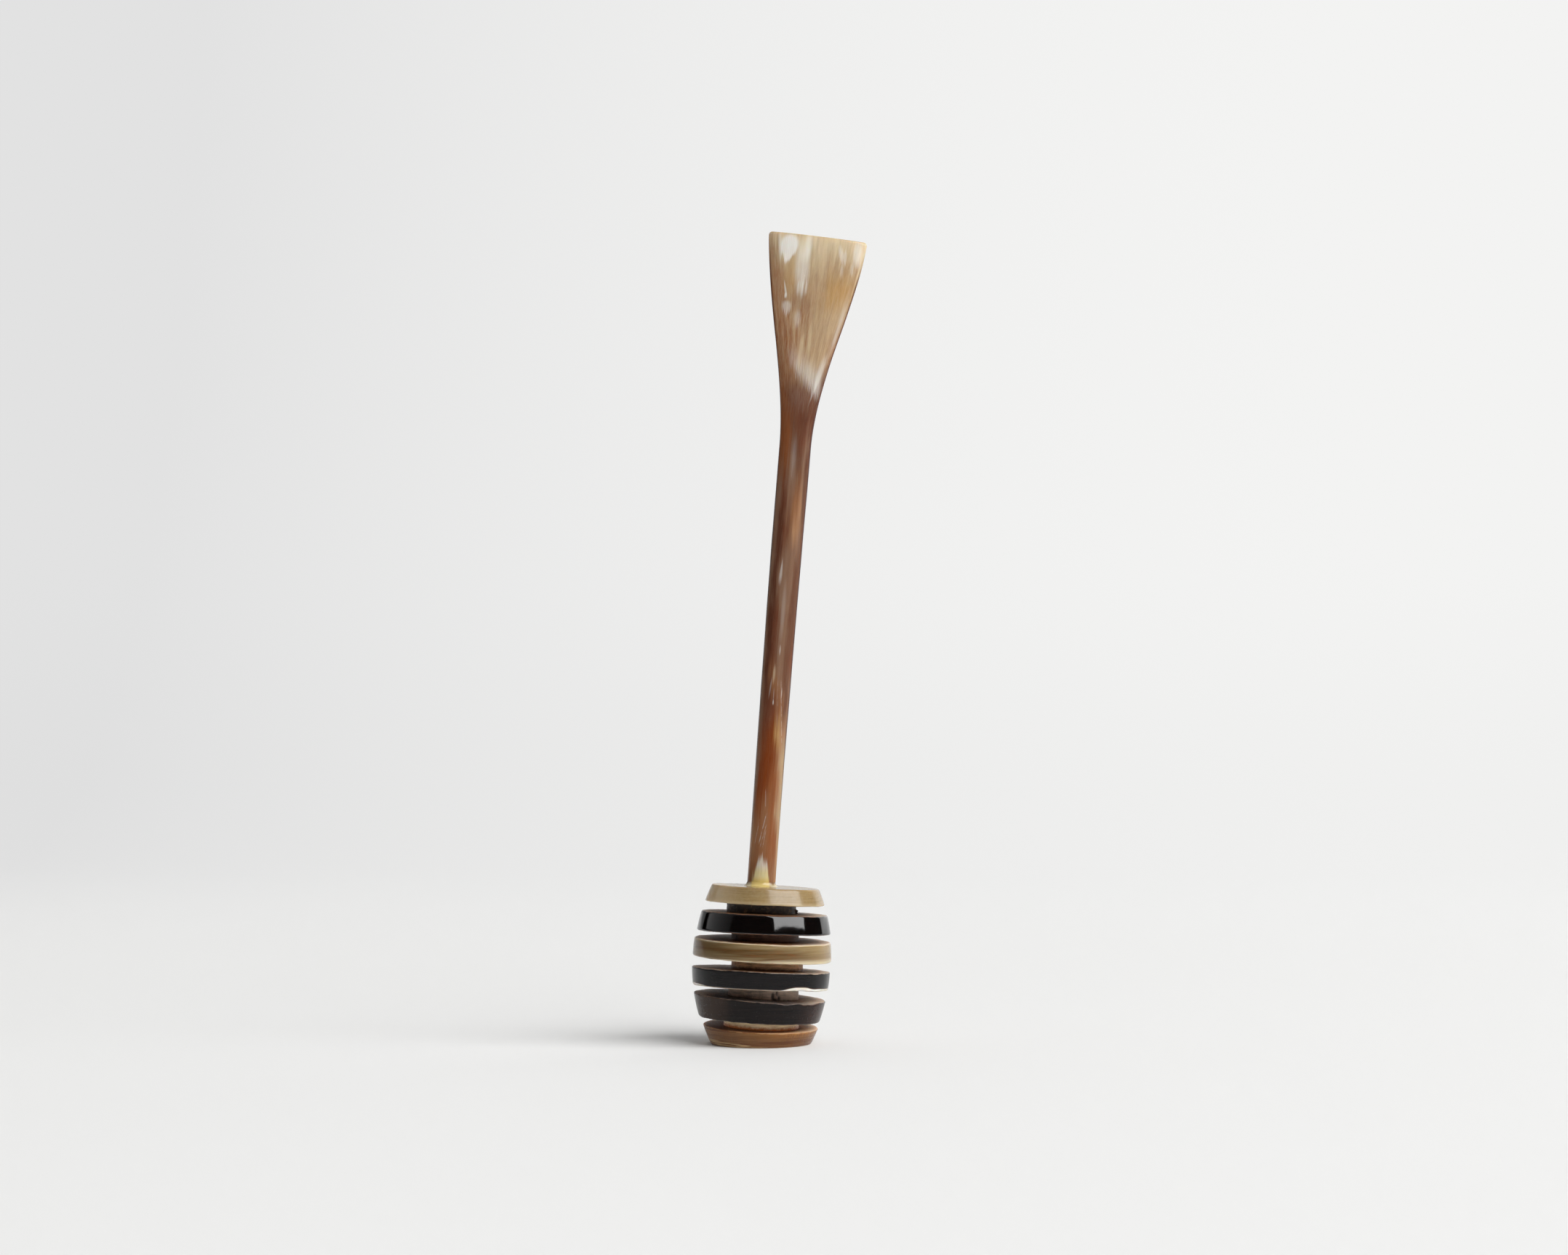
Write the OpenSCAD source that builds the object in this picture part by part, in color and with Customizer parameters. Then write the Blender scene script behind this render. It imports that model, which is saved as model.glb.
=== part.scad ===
// A honey dipper turned and carved from horn. Six barrel-shaped discs and the five small
// spacers between them are threaded on a hidden metal rod, which also enters the foot of a
// leaning, flared handle. It stands on the flat underside of its lowest disc.
// Millimetres, +Z up, +X to the right as seen from the front, origin at the middle of the underside.

/* [Head] */
// Greatest radius of the barrel that the discs are turned to
barrel_r = 13.7; // [12:0.1:18]
// Radius of the barrel at the top of the head
barrel_top_r = 10.6; // [9:0.1:11]
// Radius of the barrel where it stands on the table
barrel_foot_r = 9.9; // [9:0.1:11]
// Lean of the head's axis to the right, in degrees
head_lean = 1.8; // [0:0.1:3]
// Thickness of each disc at the axis, from the top disc down
disc_t = [3.3, 3.8, 3.7, 3.6, 4.4, 3.5]; // [3:0.1:6]
// Width of each honey slot at the axis, from the top slot down
slot_t = [1.9, 1.5, 2.1, 1.8, 1.4]; // [1.3:0.1:3]
// Slope of each disc down to the right, in degrees
disc_roll = [2.8, 2.4, 3.0, 2.7, 3.7, 2.3]; // [1:0.1:4]
// Slope of each disc down to the front, in degrees
disc_pitch = [-1.4, -1.6, -0.3, -2.0, 0.2, 2.0]; // [-2:0.1:2]
// How far each disc sits to the right of the head's axis, from the top disc down
disc_shift = [0, 0, -0.2, -0.3, -0.3, 0]; // [-0.5:0.1:0.5]

/* [Spacers] */
// Radius of each spacer, from the top one down
spacer_r = [6.9, 6.7, 7.1, 7.0, 7.4]; // [4:0.1:8]
// How far each spacer sits to the right of the head's axis
spacer_shift = [-0.6, 0.3, 0.9, 0.3, 0.1]; // [-1:0.1:1]

/* [Rod] */
// Radius of the hidden rod that the discs are threaded on
rod_r = 1.2; // [0.8:0.1:1.4]
// Radial glue gap between the rod and its holes
rod_fit = 0.05; // [0.02:0.01:0.1]
// How far the rod reaches up into the handle
rod_up = 9; // [4:0.5:14]
// Height of the rod's lower end above the table
rod_end_z = 1.5; // [1:0.1:3]
// Space left at each blind end of the rod's hole
rod_end_gap = 0.3; // [0.1:0.1:0.6]

/* [Handle] */
// Length of the stem, from the top disc to the neck
stem_len = 86.5; // [60:0.5:120]
// Length of the flared end, from the neck to the tip
flare_len = 41.6; // [30:0.1:60]
// Length over which the flare would open fully
flare_run = 46; // [42:1:80]
// Width of the stem at its foot
foot_w = 5.6; // [5:0.1:8]
// Width of the stem at the neck
neck_w = 6.3; // [5:0.1:9]
// Width of the fully open flare
flare_w = 20; // [12:0.1:26]
// Depth of the stem at its foot, front to back
foot_d = 5; // [4:0.1:7]
// Depth of the stem at the neck
neck_d = 4.1; // [3:0.1:6]
// Depth of the flared end at its tip
tip_d = 2.3; // [1.8:0.1:4]
// How far the foot stands to the right of the head's axis
foot_shift = -0.8; // [-1:0.1:0.5]
// Lean of the stem to the right where it leaves the head, in degrees
stem_lean = 4; // [0:0.1:6]
// How far the handle bends further to the right by its tip
side_bend = 1.45; // [0:0.05:4]
// How far the flare swells more to the right than to the left
flare_shift = 0.9; // [-2:0.1:2]
// How far the middle of the handle bows back, seen from the side
back_bow = 1.6; // [0:0.1:4]
// How far the tip comes forward again
tip_forward = 1.4; // [0:0.1:4]
// How far the flare's long edges curl back behind its middle
flare_arch = 0.7; // [0:0.1:1.5]
// Slope of the tip down to the right, in degrees
tip_slope = 7; // [0:0.1:12]
// Radius of the tip's rounded edge
tip_round = 0.8; // [0.2:0.1:0.8]

/* [Glue] */
// How far the glue bead spreads out around the foot
bead_w = 0.9; // [0.5:0.1:2]
// How far the glue bead climbs up the foot
bead_h = 1.3; // [0.6:0.1:3]
// Thickness of the glue at the bead's upper edge
bead_edge = 0.08; // [0.05:0.01:0.2]

/* [Hidden] */
$fn = 96;
DISCS = len(disc_t);

disc_colours = ["#b3a47e", "#17130f", "#8d7f5c", "#1f1b19", "#2b2523", "#82593a"];
spacer_colours = ["#2a211b", "#35261d", "#5a4230", "#5a4e44", "#cfae7c"];

function total(list, n) = n == 0 ? 0 : list[n - 1] + total(list, n - 1);
function ease(u) = let (c = min(max(u, 0), 1)) c * c * (3 - 2 * c);
function mix(a, b, share) = a + (b - a) * share;

head_h = total(disc_t, DISCS) + total(slot_t, DISCS - 1);
function axis_x(z) = z * tan(head_lean);
function top_z(i) = head_h - total(disc_t, i) - total(slot_t, i);
function bottom_z(i) = top_z(i) - disc_t[i];

// The arc of the barrel's side, through its foot and its top, as wide as barrel_r between them
foot_drop = barrel_r - barrel_foot_r;
top_drop = barrel_r - barrel_top_r;
drop_step = top_drop - foot_drop;
widest_z = foot_drop * (pow(head_h, 2) + top_drop * drop_step)
  / (foot_drop * head_h + sqrt(foot_drop * top_drop * (pow(head_h, 2) + pow(drop_step, 2))));
bow_r = (pow(widest_z, 2) + pow(foot_drop, 2)) / (2 * foot_drop);

// Material left above and below the head before its faces are cut
spare = 3;
handle_len = stem_len + flare_len;
// Far enough for a cutting block to clear the whole piece
reach = 2 * (head_h + handle_len);

// The handle's middle line, its section and its slope at height h above the top disc
flare_share = function (h) ease((h - stem_len) / flare_run);
function handle_x(h) =
  axis_x(head_h) + foot_shift + h * tan(stem_lean)
  + side_bend * pow(h / handle_len, 2) + flare_shift * flare_share(h);
function handle_y(h) =
  let (v = h / handle_len) back_bow * sin(180 * v) - tip_forward * v * v;
function handle_w(h) =
  mix(mix(foot_w, neck_w, ease(h / stem_len)), flare_w, flare_share(h));
function handle_d(h) =
  mix(mix(foot_d, neck_d, ease(h / stem_len)), tip_d, flare_share(h));
function handle_slope(h) = mix(stem_lean, tip_slope, flare_share(h));

// A rounder section on the stem and a flatter one on the flare
stem_power = 2.2;
flare_power = 2.6;
SIDES = 32;

function signed_pow(v, p) = sign(v) * pow(abs(v), p);
// One ring of the handle at height h, drawn in by inset and spread by swell
function handle_ring(h, inset = 0, swell = 0) =
  let (
    a = handle_w(h) / 2 - inset + swell,
    b = handle_d(h) / 2 - inset + swell,
    p = 2 / mix(stem_power, flare_power, flare_share(h)),
    slope = handle_slope(h)
  )
  [for (k = [0 : SIDES - 1])
    let (
      t = 360 * k / SIDES,
      x = a * signed_pow(cos(t), p),
      y = b * signed_pow(sin(t), p) + flare_arch * flare_share(h) * pow(x / a, 2)
    )
    [handle_x(h) + x * cos(slope), handle_y(h) + y, head_h + h - x * sin(slope)]
  ];

// Rings joined into a closed tube with flat ends
module loft(rings) {
  points = [for (r = rings) each r];
  last = len(rings) - 1;
  n = len(rings[0]);
  walls = [
    for (i = [0 : last - 1], k = [0 : n - 1])
      let (a = i * n + k, b = i * n + (k + 1) % n)
      each [[a, a + n, b], [b, a + n, b + n]]
  ];
  ends = [[for (k = [0 : n - 1]) k], [for (k = [n - 1 : -1 : 0]) last * n + k]];
  polyhedron(points, concat(walls, ends), convexity = 4);
}

// Everything above the upper face of disc i, with the disc's own slopes
module above_face(i, z) {
  translate([axis_x(z), 0, z])
    rotate([disc_pitch[i], disc_roll[i], 0])
      translate([-reach, -reach, 0])
        cube([2 * reach, 2 * reach, 2 * reach]);
}

// Everything below a face of disc i at height z
module below_face(i, z) {
  translate([axis_x(z), 0, z])
    rotate([disc_pitch[i], disc_roll[i], 0])
      translate([-reach, -reach, -2 * reach])
        cube([2 * reach, 2 * reach, 2 * reach]);
}

// The barrel that the whole head is turned to, before the slots are cut
module barrel() {
  rotate([0, head_lean, 0])
    rotate_extrude()
      intersection() {
        translate([barrel_r - bow_r, widest_z]) circle(r = bow_r);
        translate([0, -spare]) square([barrel_r, head_h + 2 * spare]);
      }
}

// A round bar on the head's axis, between two distances along it
module axis_bar(r, from, to) {
  rotate([0, head_lean, 0])
    translate([0, 0, from])
      cylinder(r = r, h = to - from);
}

module rod_hole() {
  axis_bar(rod_r + rod_fit, rod_end_z - rod_end_gap, head_h + rod_up + rod_end_gap);
}

module centre_rod() {
  color("#c9b27a")
    axis_bar(rod_r, rod_end_z, head_h + rod_up);
}

module disc(i) {
  color(disc_colours[i])
    difference() {
      intersection() {
        translate([disc_shift[i], 0, 0]) barrel();
        below_face(i, top_z(i));
        if (i < DISCS - 1)
          above_face(i, bottom_z(i));
        else
          translate([-reach, -reach, 0]) cube(2 * reach);
      }
      rod_hole();
    }
}

// The spacer under disc i, held between that disc and the next
module spacer(i) {
  color(spacer_colours[i])
    difference() {
      intersection() {
        translate([spacer_shift[i], 0, 0])
          axis_bar(spacer_r[i], top_z(i + 1) - spare, bottom_z(i) + spare);
        below_face(i, bottom_z(i));
        above_face(i + 1, top_z(i + 1));
      }
      rod_hole();
    }
}

// The outside of the handle, from below its foot up to the tip
module handle_form() {
  foot = -spare / 2;
  shoulder = handle_len - tip_round;
  steps = 34;
  tip_steps = 4;
  loft(concat(
    [for (k = [0 : steps - 1]) handle_ring(mix(foot, shoulder, k / steps))],
    [for (k = [0 : tip_steps])
      let (a = 90 * k / tip_steps)
      handle_ring(shoulder + tip_round * sin(a), tip_round * (1 - cos(a)))
    ]
  ));
}

module handle() {
  color("#8a5f42")
    difference() {
      intersection() {
        handle_form();
        above_face(0, head_h);
      }
      rod_hole();
    }
}

// The hollow-sided bead of set glue around the foot
module glue_bead() {
  steps = 5;
  color("#c9c08f")
    difference() {
      intersection() {
        loft(concat(
          [handle_ring(-spare / 3, 0, bead_w)],
          [for (k = [0 : steps])
            let (a = 90 * k / steps)
            handle_ring(
              bead_h * (1 - cos(a)),
              0,
              bead_edge + (bead_w - bead_edge) * (1 - sin(a))
            )
          ]
        ));
        above_face(0, head_h);
      }
      loft([
        handle_ring(-spare / 2),
        handle_ring(0),
        handle_ring(bead_h / 2),
        handle_ring(2 * bead_h)
      ]);
    }
}

handle();
glue_bead();
centre_rod();
for (i = [0 : DISCS - 1])
  disc(i);
for (i = [0 : DISCS - 2])
  spacer(i);
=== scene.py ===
"""A honey dipper carved from horn: six discs and five spacers under a leaning, flared handle.

The pieces are built in metres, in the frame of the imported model, and dressed as polished horn.
"""
import math
from typing import NamedTuple

import bmesh
import bpy
from mathutils import Matrix, Quaternion, Vector, noise


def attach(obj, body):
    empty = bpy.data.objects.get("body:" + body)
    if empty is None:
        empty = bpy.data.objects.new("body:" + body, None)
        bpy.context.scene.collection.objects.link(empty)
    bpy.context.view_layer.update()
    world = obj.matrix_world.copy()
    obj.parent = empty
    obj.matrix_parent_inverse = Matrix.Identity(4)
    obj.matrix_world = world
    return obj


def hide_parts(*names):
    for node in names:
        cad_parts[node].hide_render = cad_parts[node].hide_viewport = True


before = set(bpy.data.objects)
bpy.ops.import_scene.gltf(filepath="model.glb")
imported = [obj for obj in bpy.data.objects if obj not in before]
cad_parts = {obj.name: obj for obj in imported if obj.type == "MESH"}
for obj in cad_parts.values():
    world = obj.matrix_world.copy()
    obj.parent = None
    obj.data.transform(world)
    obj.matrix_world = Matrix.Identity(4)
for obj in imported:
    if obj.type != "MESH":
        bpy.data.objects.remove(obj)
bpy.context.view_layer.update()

bl_info = {
    "name": "Horn Honey Dipper",
    "version": (1, 0, 0),
    "blender": (4, 5, 0),
    "location": "3D View > Sidebar > Honey Dipper",
    "description": "Builds a honey dipper of polished horn, with its stage",
    "category": "Add Mesh",
}

MM = 0.001
DISCS = 6


# Colour and number helpers


def srgb(red, green, blue):
    """A colour given as 0 to 255 display values, as the linear colour that shaders use."""
    def linear(value):
        share = value / 255
        return share / 12.92 if share <= 0.04045 else ((share + 0.055) / 1.055) ** 2.4
    return (linear(red), linear(green), linear(blue), 1.0)


def mix(low, high, share):
    return low + (high - low) * share


def ease(value):
    """0 below 0, 1 above 1, and a smooth rise between them."""
    value = min(max(value, 0.0), 1.0)
    return value * value * (3 - 2 * value)


def wobble(place, wavelength, seed=0.0):
    """Smooth noise between -1 and 1, with bumps about one wavelength apart."""
    return noise.noise(Vector(place) / wavelength + Vector((seed, 2.3 * seed, -1.7 * seed)))


def past(angle, at):
    """How far an angle in radians lies past one in degrees, from -180 to 180 degrees."""
    return (math.degrees(angle) - at + 180) % 360 - 180


# Sizes and colours that a user would change


def length(name, description, mm, signed=False):
    """A length whose default is in mm."""
    limit = {} if signed else {"min": 0.0}
    return bpy.props.FloatProperty(name=name, description=description, default=mm * MM,
                                   unit="LENGTH", subtype="DISTANCE", **limit)


def lengths(name, description, *mm):
    return bpy.props.FloatVectorProperty(name=name, description=description, size=len(mm),
                                         default=[value * MM for value in mm], unit="LENGTH")


def tilt(name, description, degrees):
    """An angle whose default is in degrees."""
    return bpy.props.FloatProperty(name=name, description=description, subtype="ANGLE",
                                   default=math.radians(degrees), unit="ROTATION")


def tilts(name, description, *degrees):
    return bpy.props.FloatVectorProperty(name=name, description=description, size=len(degrees),
                                         default=[math.radians(value) for value in degrees],
                                         unit="ROTATION")


def tone(name, description, red, green, blue):
    return bpy.props.FloatVectorProperty(name=name, description=description, size=4, min=0, max=1,
                                         default=srgb(red, green, blue), subtype="COLOR")


class DipperHead(bpy.types.PropertyGroup):
    """Sizes of the stack of discs and spacers."""

    barrel_r: length("Barrel Radius",
                     "Greatest radius of the barrel that the discs are turned to", 13.7)
    top_r: length("Top Radius", "Radius of the barrel at the top of the head", 10.6)
    foot_r: length("Foot Radius", "Radius of the barrel where it stands on the table", 9.9)
    lean: tilt("Lean", "Lean of the head's axis to the right", 1.8)
    disc_t: lengths("Disc Thickness", "Thickness of each disc at the axis, from the top disc down",
                    3.3, 3.8, 3.7, 3.6, 4.4, 3.5)
    slot_t: lengths("Slot Width", "Width of each honey slot at the axis, from the top slot down",
                    1.9, 1.5, 2.1, 1.8, 1.4)
    top_roll: tilts("Upper Face Slope",
                    "Slope of each disc's upper face down to the right, from the top disc down",
                    3.1, 2.55, 2.6, 2.7, 4.2, 2.5)
    bottom_roll: tilts("Lower Face Slope",
                       "Slope of each disc's lower face down to the right, from the top disc down",
                       2.7, 2.2, 3.25, 2.6, 3.2, 0)
    pitch: tilts("Slope To The Front",
                 "Slope of each disc down to the front, from the top disc down",
                 -1.4, -1.6, -0.3, -2, 0.2, 2)
    disc_shift: lengths("Disc Shift", "How far each disc sits to the right of the head's axis",
                        0, 0, -0.2, -0.3, -0.3, 0)
    rim_round: length("Rim Rounding", "How far the polishing has rounded the discs' rims", 0.35)
    spacer_r: lengths("Spacer Radius", "Radius of each spacer, from the top one down",
                      6.9, 6.7, 7.1, 7, 7.4)
    spacer_shift: lengths("Spacer Shift",
                          "How far each spacer sits to the right of the head's axis",
                          -0.6, 0.3, 0.9, 0.3, 0.1)


class DipperHandle(bpy.types.PropertyGroup):
    """Sizes of the carved handle and of the glue round its foot."""

    stem_len: length("Stem Length", "From the top disc to the neck", 86.5)
    flare_len: length("Flare Length", "From the neck to the tip", 41.6)
    flare_run: length("Flare Run", "Length over which the flare would open fully", 46)
    foot_w: length("Foot Width", "Width of the stem at its foot", 5.6)
    neck_w: length("Neck Width", "Width of the stem at the neck", 6.3)
    flare_w: length("Flare Width", "Width of the fully open flare", 20)
    foot_d: length("Foot Depth", "Depth of the stem at its foot, front to back", 5)
    neck_d: length("Neck Depth", "Depth of the stem at the neck", 4.1)
    tip_d: length("Tip Depth", "Depth of the flared end at its tip", 2.3)
    foot_shift: length("Foot Shift", "How far the foot stands to the right of the head's axis",
                       -0.8, signed=True)
    stem_lean: tilt("Stem Lean", "Lean of the stem to the right where it leaves the head", 4)
    side_bend: length("Side Bend", "How far the handle bends further to the right by its tip",
                      1.45, signed=True)
    flare_shift: length("Flare Shift",
                        "How far the flare swells more to the right than to the left",
                        0.9, signed=True)
    back_bow: length("Back Bow", "How far the middle of the handle bows back", 1.6, signed=True)
    tip_forward: length("Tip Forward", "How far the tip comes forward again", 1.4, signed=True)
    flare_arch: length("Flare Arch", "How far the flare's long edges curl back", 0.7, signed=True)
    tip_slope: tilt("Tip Slope", "Slope of the tip down to the right", 7)
    tip_round: length("Tip Rounding", "Radius of the tip's rounded edge", 0.8)
    bead_w: length("Glue Width", "How far the glue spreads out around the foot", 0.9)
    bead_h: length("Glue Height", "How far the glue climbs up the foot", 1.3)


class DipperColours(bpy.types.PropertyGroup):
    """The tones of the horn."""

    white: tone("White", "Whitish patches and streaks", 236, 235, 228)
    cream: tone("Cream", "Pale horn of the tip", 222, 206, 172)
    tan: tone("Tan", "Main tone of the flared end", 181, 154, 120)
    honey: tone("Honey", "Golden zones of the flared end", 180, 142, 90)
    sand: tone("Sand", "Pale zone of the lower stem", 168, 126, 92)
    clay: tone("Clay", "Light brown of the foot and of the left of the flare", 144, 98, 66)
    amber: tone("Amber", "Warm glow of the lower stem", 124, 55, 8)
    rust: tone("Rust", "Orange brown on the left of the neck and in the flare's streaks",
               140, 80, 42)
    chestnut: tone("Chestnut", "Reddish brown of the neck", 108, 62, 42)
    umber: tone("Umber", "Dark brown of the stem", 84, 42, 26)
    # Mauve is partly the horn's own greyish brown and partly painted sheen on the stem
    mauve: tone("Mauve", "Greyish brown band of the stem", 134, 103, 83)
    bark: tone("Bark", "Brown of the right of the stem", 104, 68, 50)
    olive: tone("Olive", "Pale discs", 160, 136, 94)
    olive_dark: tone("Dark Olive", "Dark streaks in the pale discs", 92, 68, 36)
    black: tone("Black", "Black disc", 2, 1, 1)
    charcoal: tone("Charcoal", "Charcoal discs", 9, 7, 8)
    brown: tone("Brown", "Bottom disc", 90, 52, 28)
    cut: tone("Cut Face", "Sawn, unpolished faces", 136, 96, 68)


class DipperStage(bpy.types.PropertyGroup):
    """Camera, light and backdrop."""

    camera_distance: length("Camera Distance", "From the camera to the dipper's axis", 825,
                            signed=True)
    camera_side: length("Camera Side", "How far the camera stands to the right of the axis", 4.7,
                        signed=True)
    camera_height: length("Camera Height", "Height of the level camera above the table", 82.1,
                          signed=True)
    lens: bpy.props.FloatProperty(
        name="Lens", description="Focal length on a 36 mm sensor", default=96.0)
    window_power: bpy.props.FloatProperty(
        name="Window Power", description="Power of the large soft light", default=289.0)
    room: bpy.props.FloatProperty(
        name="Room Light", description="Strength of the light from the pale ceiling", default=0.3)
    floor: tone("Floor", "Colour of the table and sweep", 237, 237, 236)


# Mesh building


def unzip(rows):
    """Rings of points and like rings of each attribute, from rings of (point, attribute, ...)."""
    return tuple(zip(*(zip(*row) for row in rows)))


def swept(levels, columns, point):
    """Rings of points and of attributes, one ring for each level."""
    angles = [2 * math.pi * k / columns for k in range(columns)]
    return unzip([[point(level, angle) for angle in angles] for level in levels])


def ring_mesh(name, rings, attributes, closed=False):
    """A smooth mesh of quads that joins rings of points.

    Its ends are capped with fans or, if it is closed, joined to each other. attributes maps a name
    to one vector per ring point, in the rings' order.
    """
    mesh = bpy.data.meshes.new(name)
    work = bmesh.new()
    columns = len(rings[0])
    verts = [[work.verts.new(point) for point in ring] for ring in rings]
    pairs = list(zip(verts, verts[1:]))
    if closed:
        pairs.append((verts[-1], verts[0]))
    for low, high in pairs:
        for k in range(columns):
            n = (k + 1) % columns
            work.faces.new((low[k], low[n], high[n], high[k]))
    if not closed:
        for ring, flip in ((verts[0], True), (verts[-1], False)):
            middle = work.verts.new(sum((v.co for v in ring), Vector()) / columns)
            for k in range(columns):
                corners = (ring[k], ring[(k + 1) % columns], middle)
                work.faces.new(corners[::-1] if flip else corners)
    work.to_mesh(mesh)
    work.free()
    mesh.polygons.foreach_set("use_smooth", [True] * len(mesh.polygons))
    for label, values in attributes.items():
        flat = [value for ring in values for value in ring]
        if not closed:
            flat += [values[0][0], values[-1][0]]
        layer = mesh.attributes.new(label, "FLOAT_VECTOR", "POINT")
        layer.data.foreach_set("vector", [axis for value in flat for axis in value])
    mesh.update()
    thing = bpy.data.objects.new(name, mesh)
    bpy.context.scene.collection.objects.link(thing)
    return thing


def settle(thing, node, slot, material):
    """Dresses a piece and makes it stand for its CAD node."""
    thing.data.materials.append(material)
    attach(thing, "root")
    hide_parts(node)


# The head's shape


class Barrel:
    """The leaning barrel that the discs are turned to, and the sloping faces that cut it."""

    def __init__(self, head):
        self.head = head
        self.height = sum(head.disc_t) + sum(head.slot_t)
        foot = head.barrel_r - head.foot_r
        top = head.barrel_r - head.top_r
        step = top - foot
        spread = self.height ** 2 + step ** 2
        self.widest = (foot * (self.height ** 2 + top * step)
                       / (foot * self.height + math.sqrt(foot * top * spread)))
        self.bow = (self.widest ** 2 + foot ** 2) / (2 * foot)
        self.turn = Matrix.Rotation(head.lean, 3, "Y")

    def radius(self, up):
        """Radius of the barrel at a distance up its axis."""
        return self.head.barrel_r - self.bow + math.sqrt(self.bow ** 2 - (up - self.widest) ** 2)

    def top_z(self, i):
        return self.height - sum(self.head.disc_t[:i]) - sum(self.head.slot_t[:i])

    def face(self, i, upper):
        """Height at the axis, slope to the right and slope to the front of one face of disc i."""
        if upper:
            return self.top_z(i), self.head.top_roll[i], self.head.pitch[i]
        if i == DISCS - 1:
            return 0.0, 0.0, 0.0
        return self.top_z(i) - self.head.disc_t[i], self.head.bottom_roll[i], self.head.pitch[i]

    def height_on(self, face, x, y):
        """Height above the table of the point of a face over x, y."""
        z, roll, pitch = face
        return z - (x - z * math.tan(self.head.lean)) * math.tan(roll) + y * math.tan(pitch)

    def up_to(self, face, out, angle, shift):
        """How far up the leaning axis a face lies, at a distance out from the shifted axis."""
        z, roll, pitch = face
        slope, fall = math.tan(roll), math.tan(pitch)
        c, s = math.cos(self.head.lean), math.sin(self.head.lean)
        start = z + (z * math.tan(self.head.lean) - shift) * slope
        across = out * math.cos(angle) * (s - c * slope)
        deep = out * math.sin(angle) * fall
        return (start + across + deep) / (c + s * slope)

    def place(self, out, angle, up, shift):
        """The point at a distance out from the shifted axis and up along it."""
        point = Vector((out * math.cos(angle), out * math.sin(angle), up))
        return self.turn @ point + Vector((shift, 0, 0))

    def rim(self, face, angle, shift, seed, rough, waves):
        """Radius and height up the axis at which a rough, wavy face meets the barrel."""
        up = 0.0
        for _ in range(5):
            up = self.up_to(face, self.radius(up), angle, shift)
        around = (math.cos(angle), math.sin(angle), 0)
        up += rough * (wobble(around, 0.25, seed) + 0.5 * wobble(around, 0.07, seed + 5))
        for at, width, lift in waves:
            up += lift * math.exp(-(past(angle, at) / width) ** 2)
        return Vector((self.radius(up), up))


def corner_curve(start, corner, end, steps):
    """Points of the rounded corner between two straight stretches, both ends included."""
    shares = [k / steps for k in range(steps + 1)]
    return [start.lerp(corner, share).lerp(corner.lerp(end, share), share) for share in shares]


def disc_rings(barrel, i, style):
    """Rings of disc i, from the middle of its lower face round the rim to that of its upper one.

    With them come each point's place, in mm: height above the lower face, depth below the upper
    face, and how far it lies on a cut face from 0 to 1.
    """
    head = barrel.head
    columns, face_steps, corner_steps, side_steps = 288, 9, 6, 14
    shares = [ease((n + 0.25) / face_steps) for n in range(face_steps)]
    shift = head.disc_shift[i]
    low_face, high_face = barrel.face(i, False), barrel.face(i, True)
    base = i == DISCS - 1
    sections = []
    for k in range(columns):
        angle = 2 * math.pi * k / columns
        low = barrel.rim(low_face, angle, shift, i + 1.5, 0.0 if base else style["rough"],
                         style.get("low_waves", ()))
        high = barrel.rim(high_face, angle, shift, i + 8.5, style["rough"],
                          style.get("high_waves", ()))
        low_mid = Vector((0, barrel.up_to(low_face, 0, angle, shift)))
        high_mid = Vector((0, barrel.up_to(high_face, 0, angle, shift)))
        rounded_edge = head.rim_round * (1 + 0.35 * wobble((math.cos(angle), math.sin(angle), i), 0.5, 3))
        heights = [mix(low.y + rounded_edge, high.y - rounded_edge, n / side_steps) for n in range(side_steps + 1)]
        side = [Vector((barrel.radius(up), up)) for up in heights]
        low_in = low.lerp(low_mid, rounded_edge / low.x)
        high_in = high.lerp(high_mid, rounded_edge / high.x)
        low_corner = corner_curve(low_in, low, side[0], corner_steps)
        high_corner = corner_curve(side[-1], high, high_in, corner_steps)
        line = [(low_mid.lerp(low_in, share), 1.0) for share in shares]
        line += [(point, 1 - n / corner_steps) for n, point in enumerate(low_corner)]
        line += [(point, 0.0) for point in side[1:-1]]
        line += [(point, n / corner_steps) for n, point in enumerate(high_corner)]
        line += [(high_mid.lerp(high_in, share), 1.0) for share in reversed(shares)]
        section = []
        for point, cut in line:
            spot = barrel.place(point.x, angle, point.y, shift)
            uneven = wobble(spot, 4.0 * MM, i) + 0.4 * wobble(spot, 1.6 * MM, i + 3)
            drop = style["polish"] * (1 - cut) * (0.5 + 0.5 * uneven)
            spot = barrel.place(point.x - drop, angle, point.y, shift)
            if base and point.y <= low.y + 1e-7:
                spot.z = 0.0
            below = barrel.up_to(low_face, point.x, angle, shift)
            above = barrel.up_to(high_face, point.x, angle, shift)
            section.append((spot, ((point.y - below) / MM, (above - point.y) / MM, cut)))
        sections.append(section)
    return unzip(zip(*sections))


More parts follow.
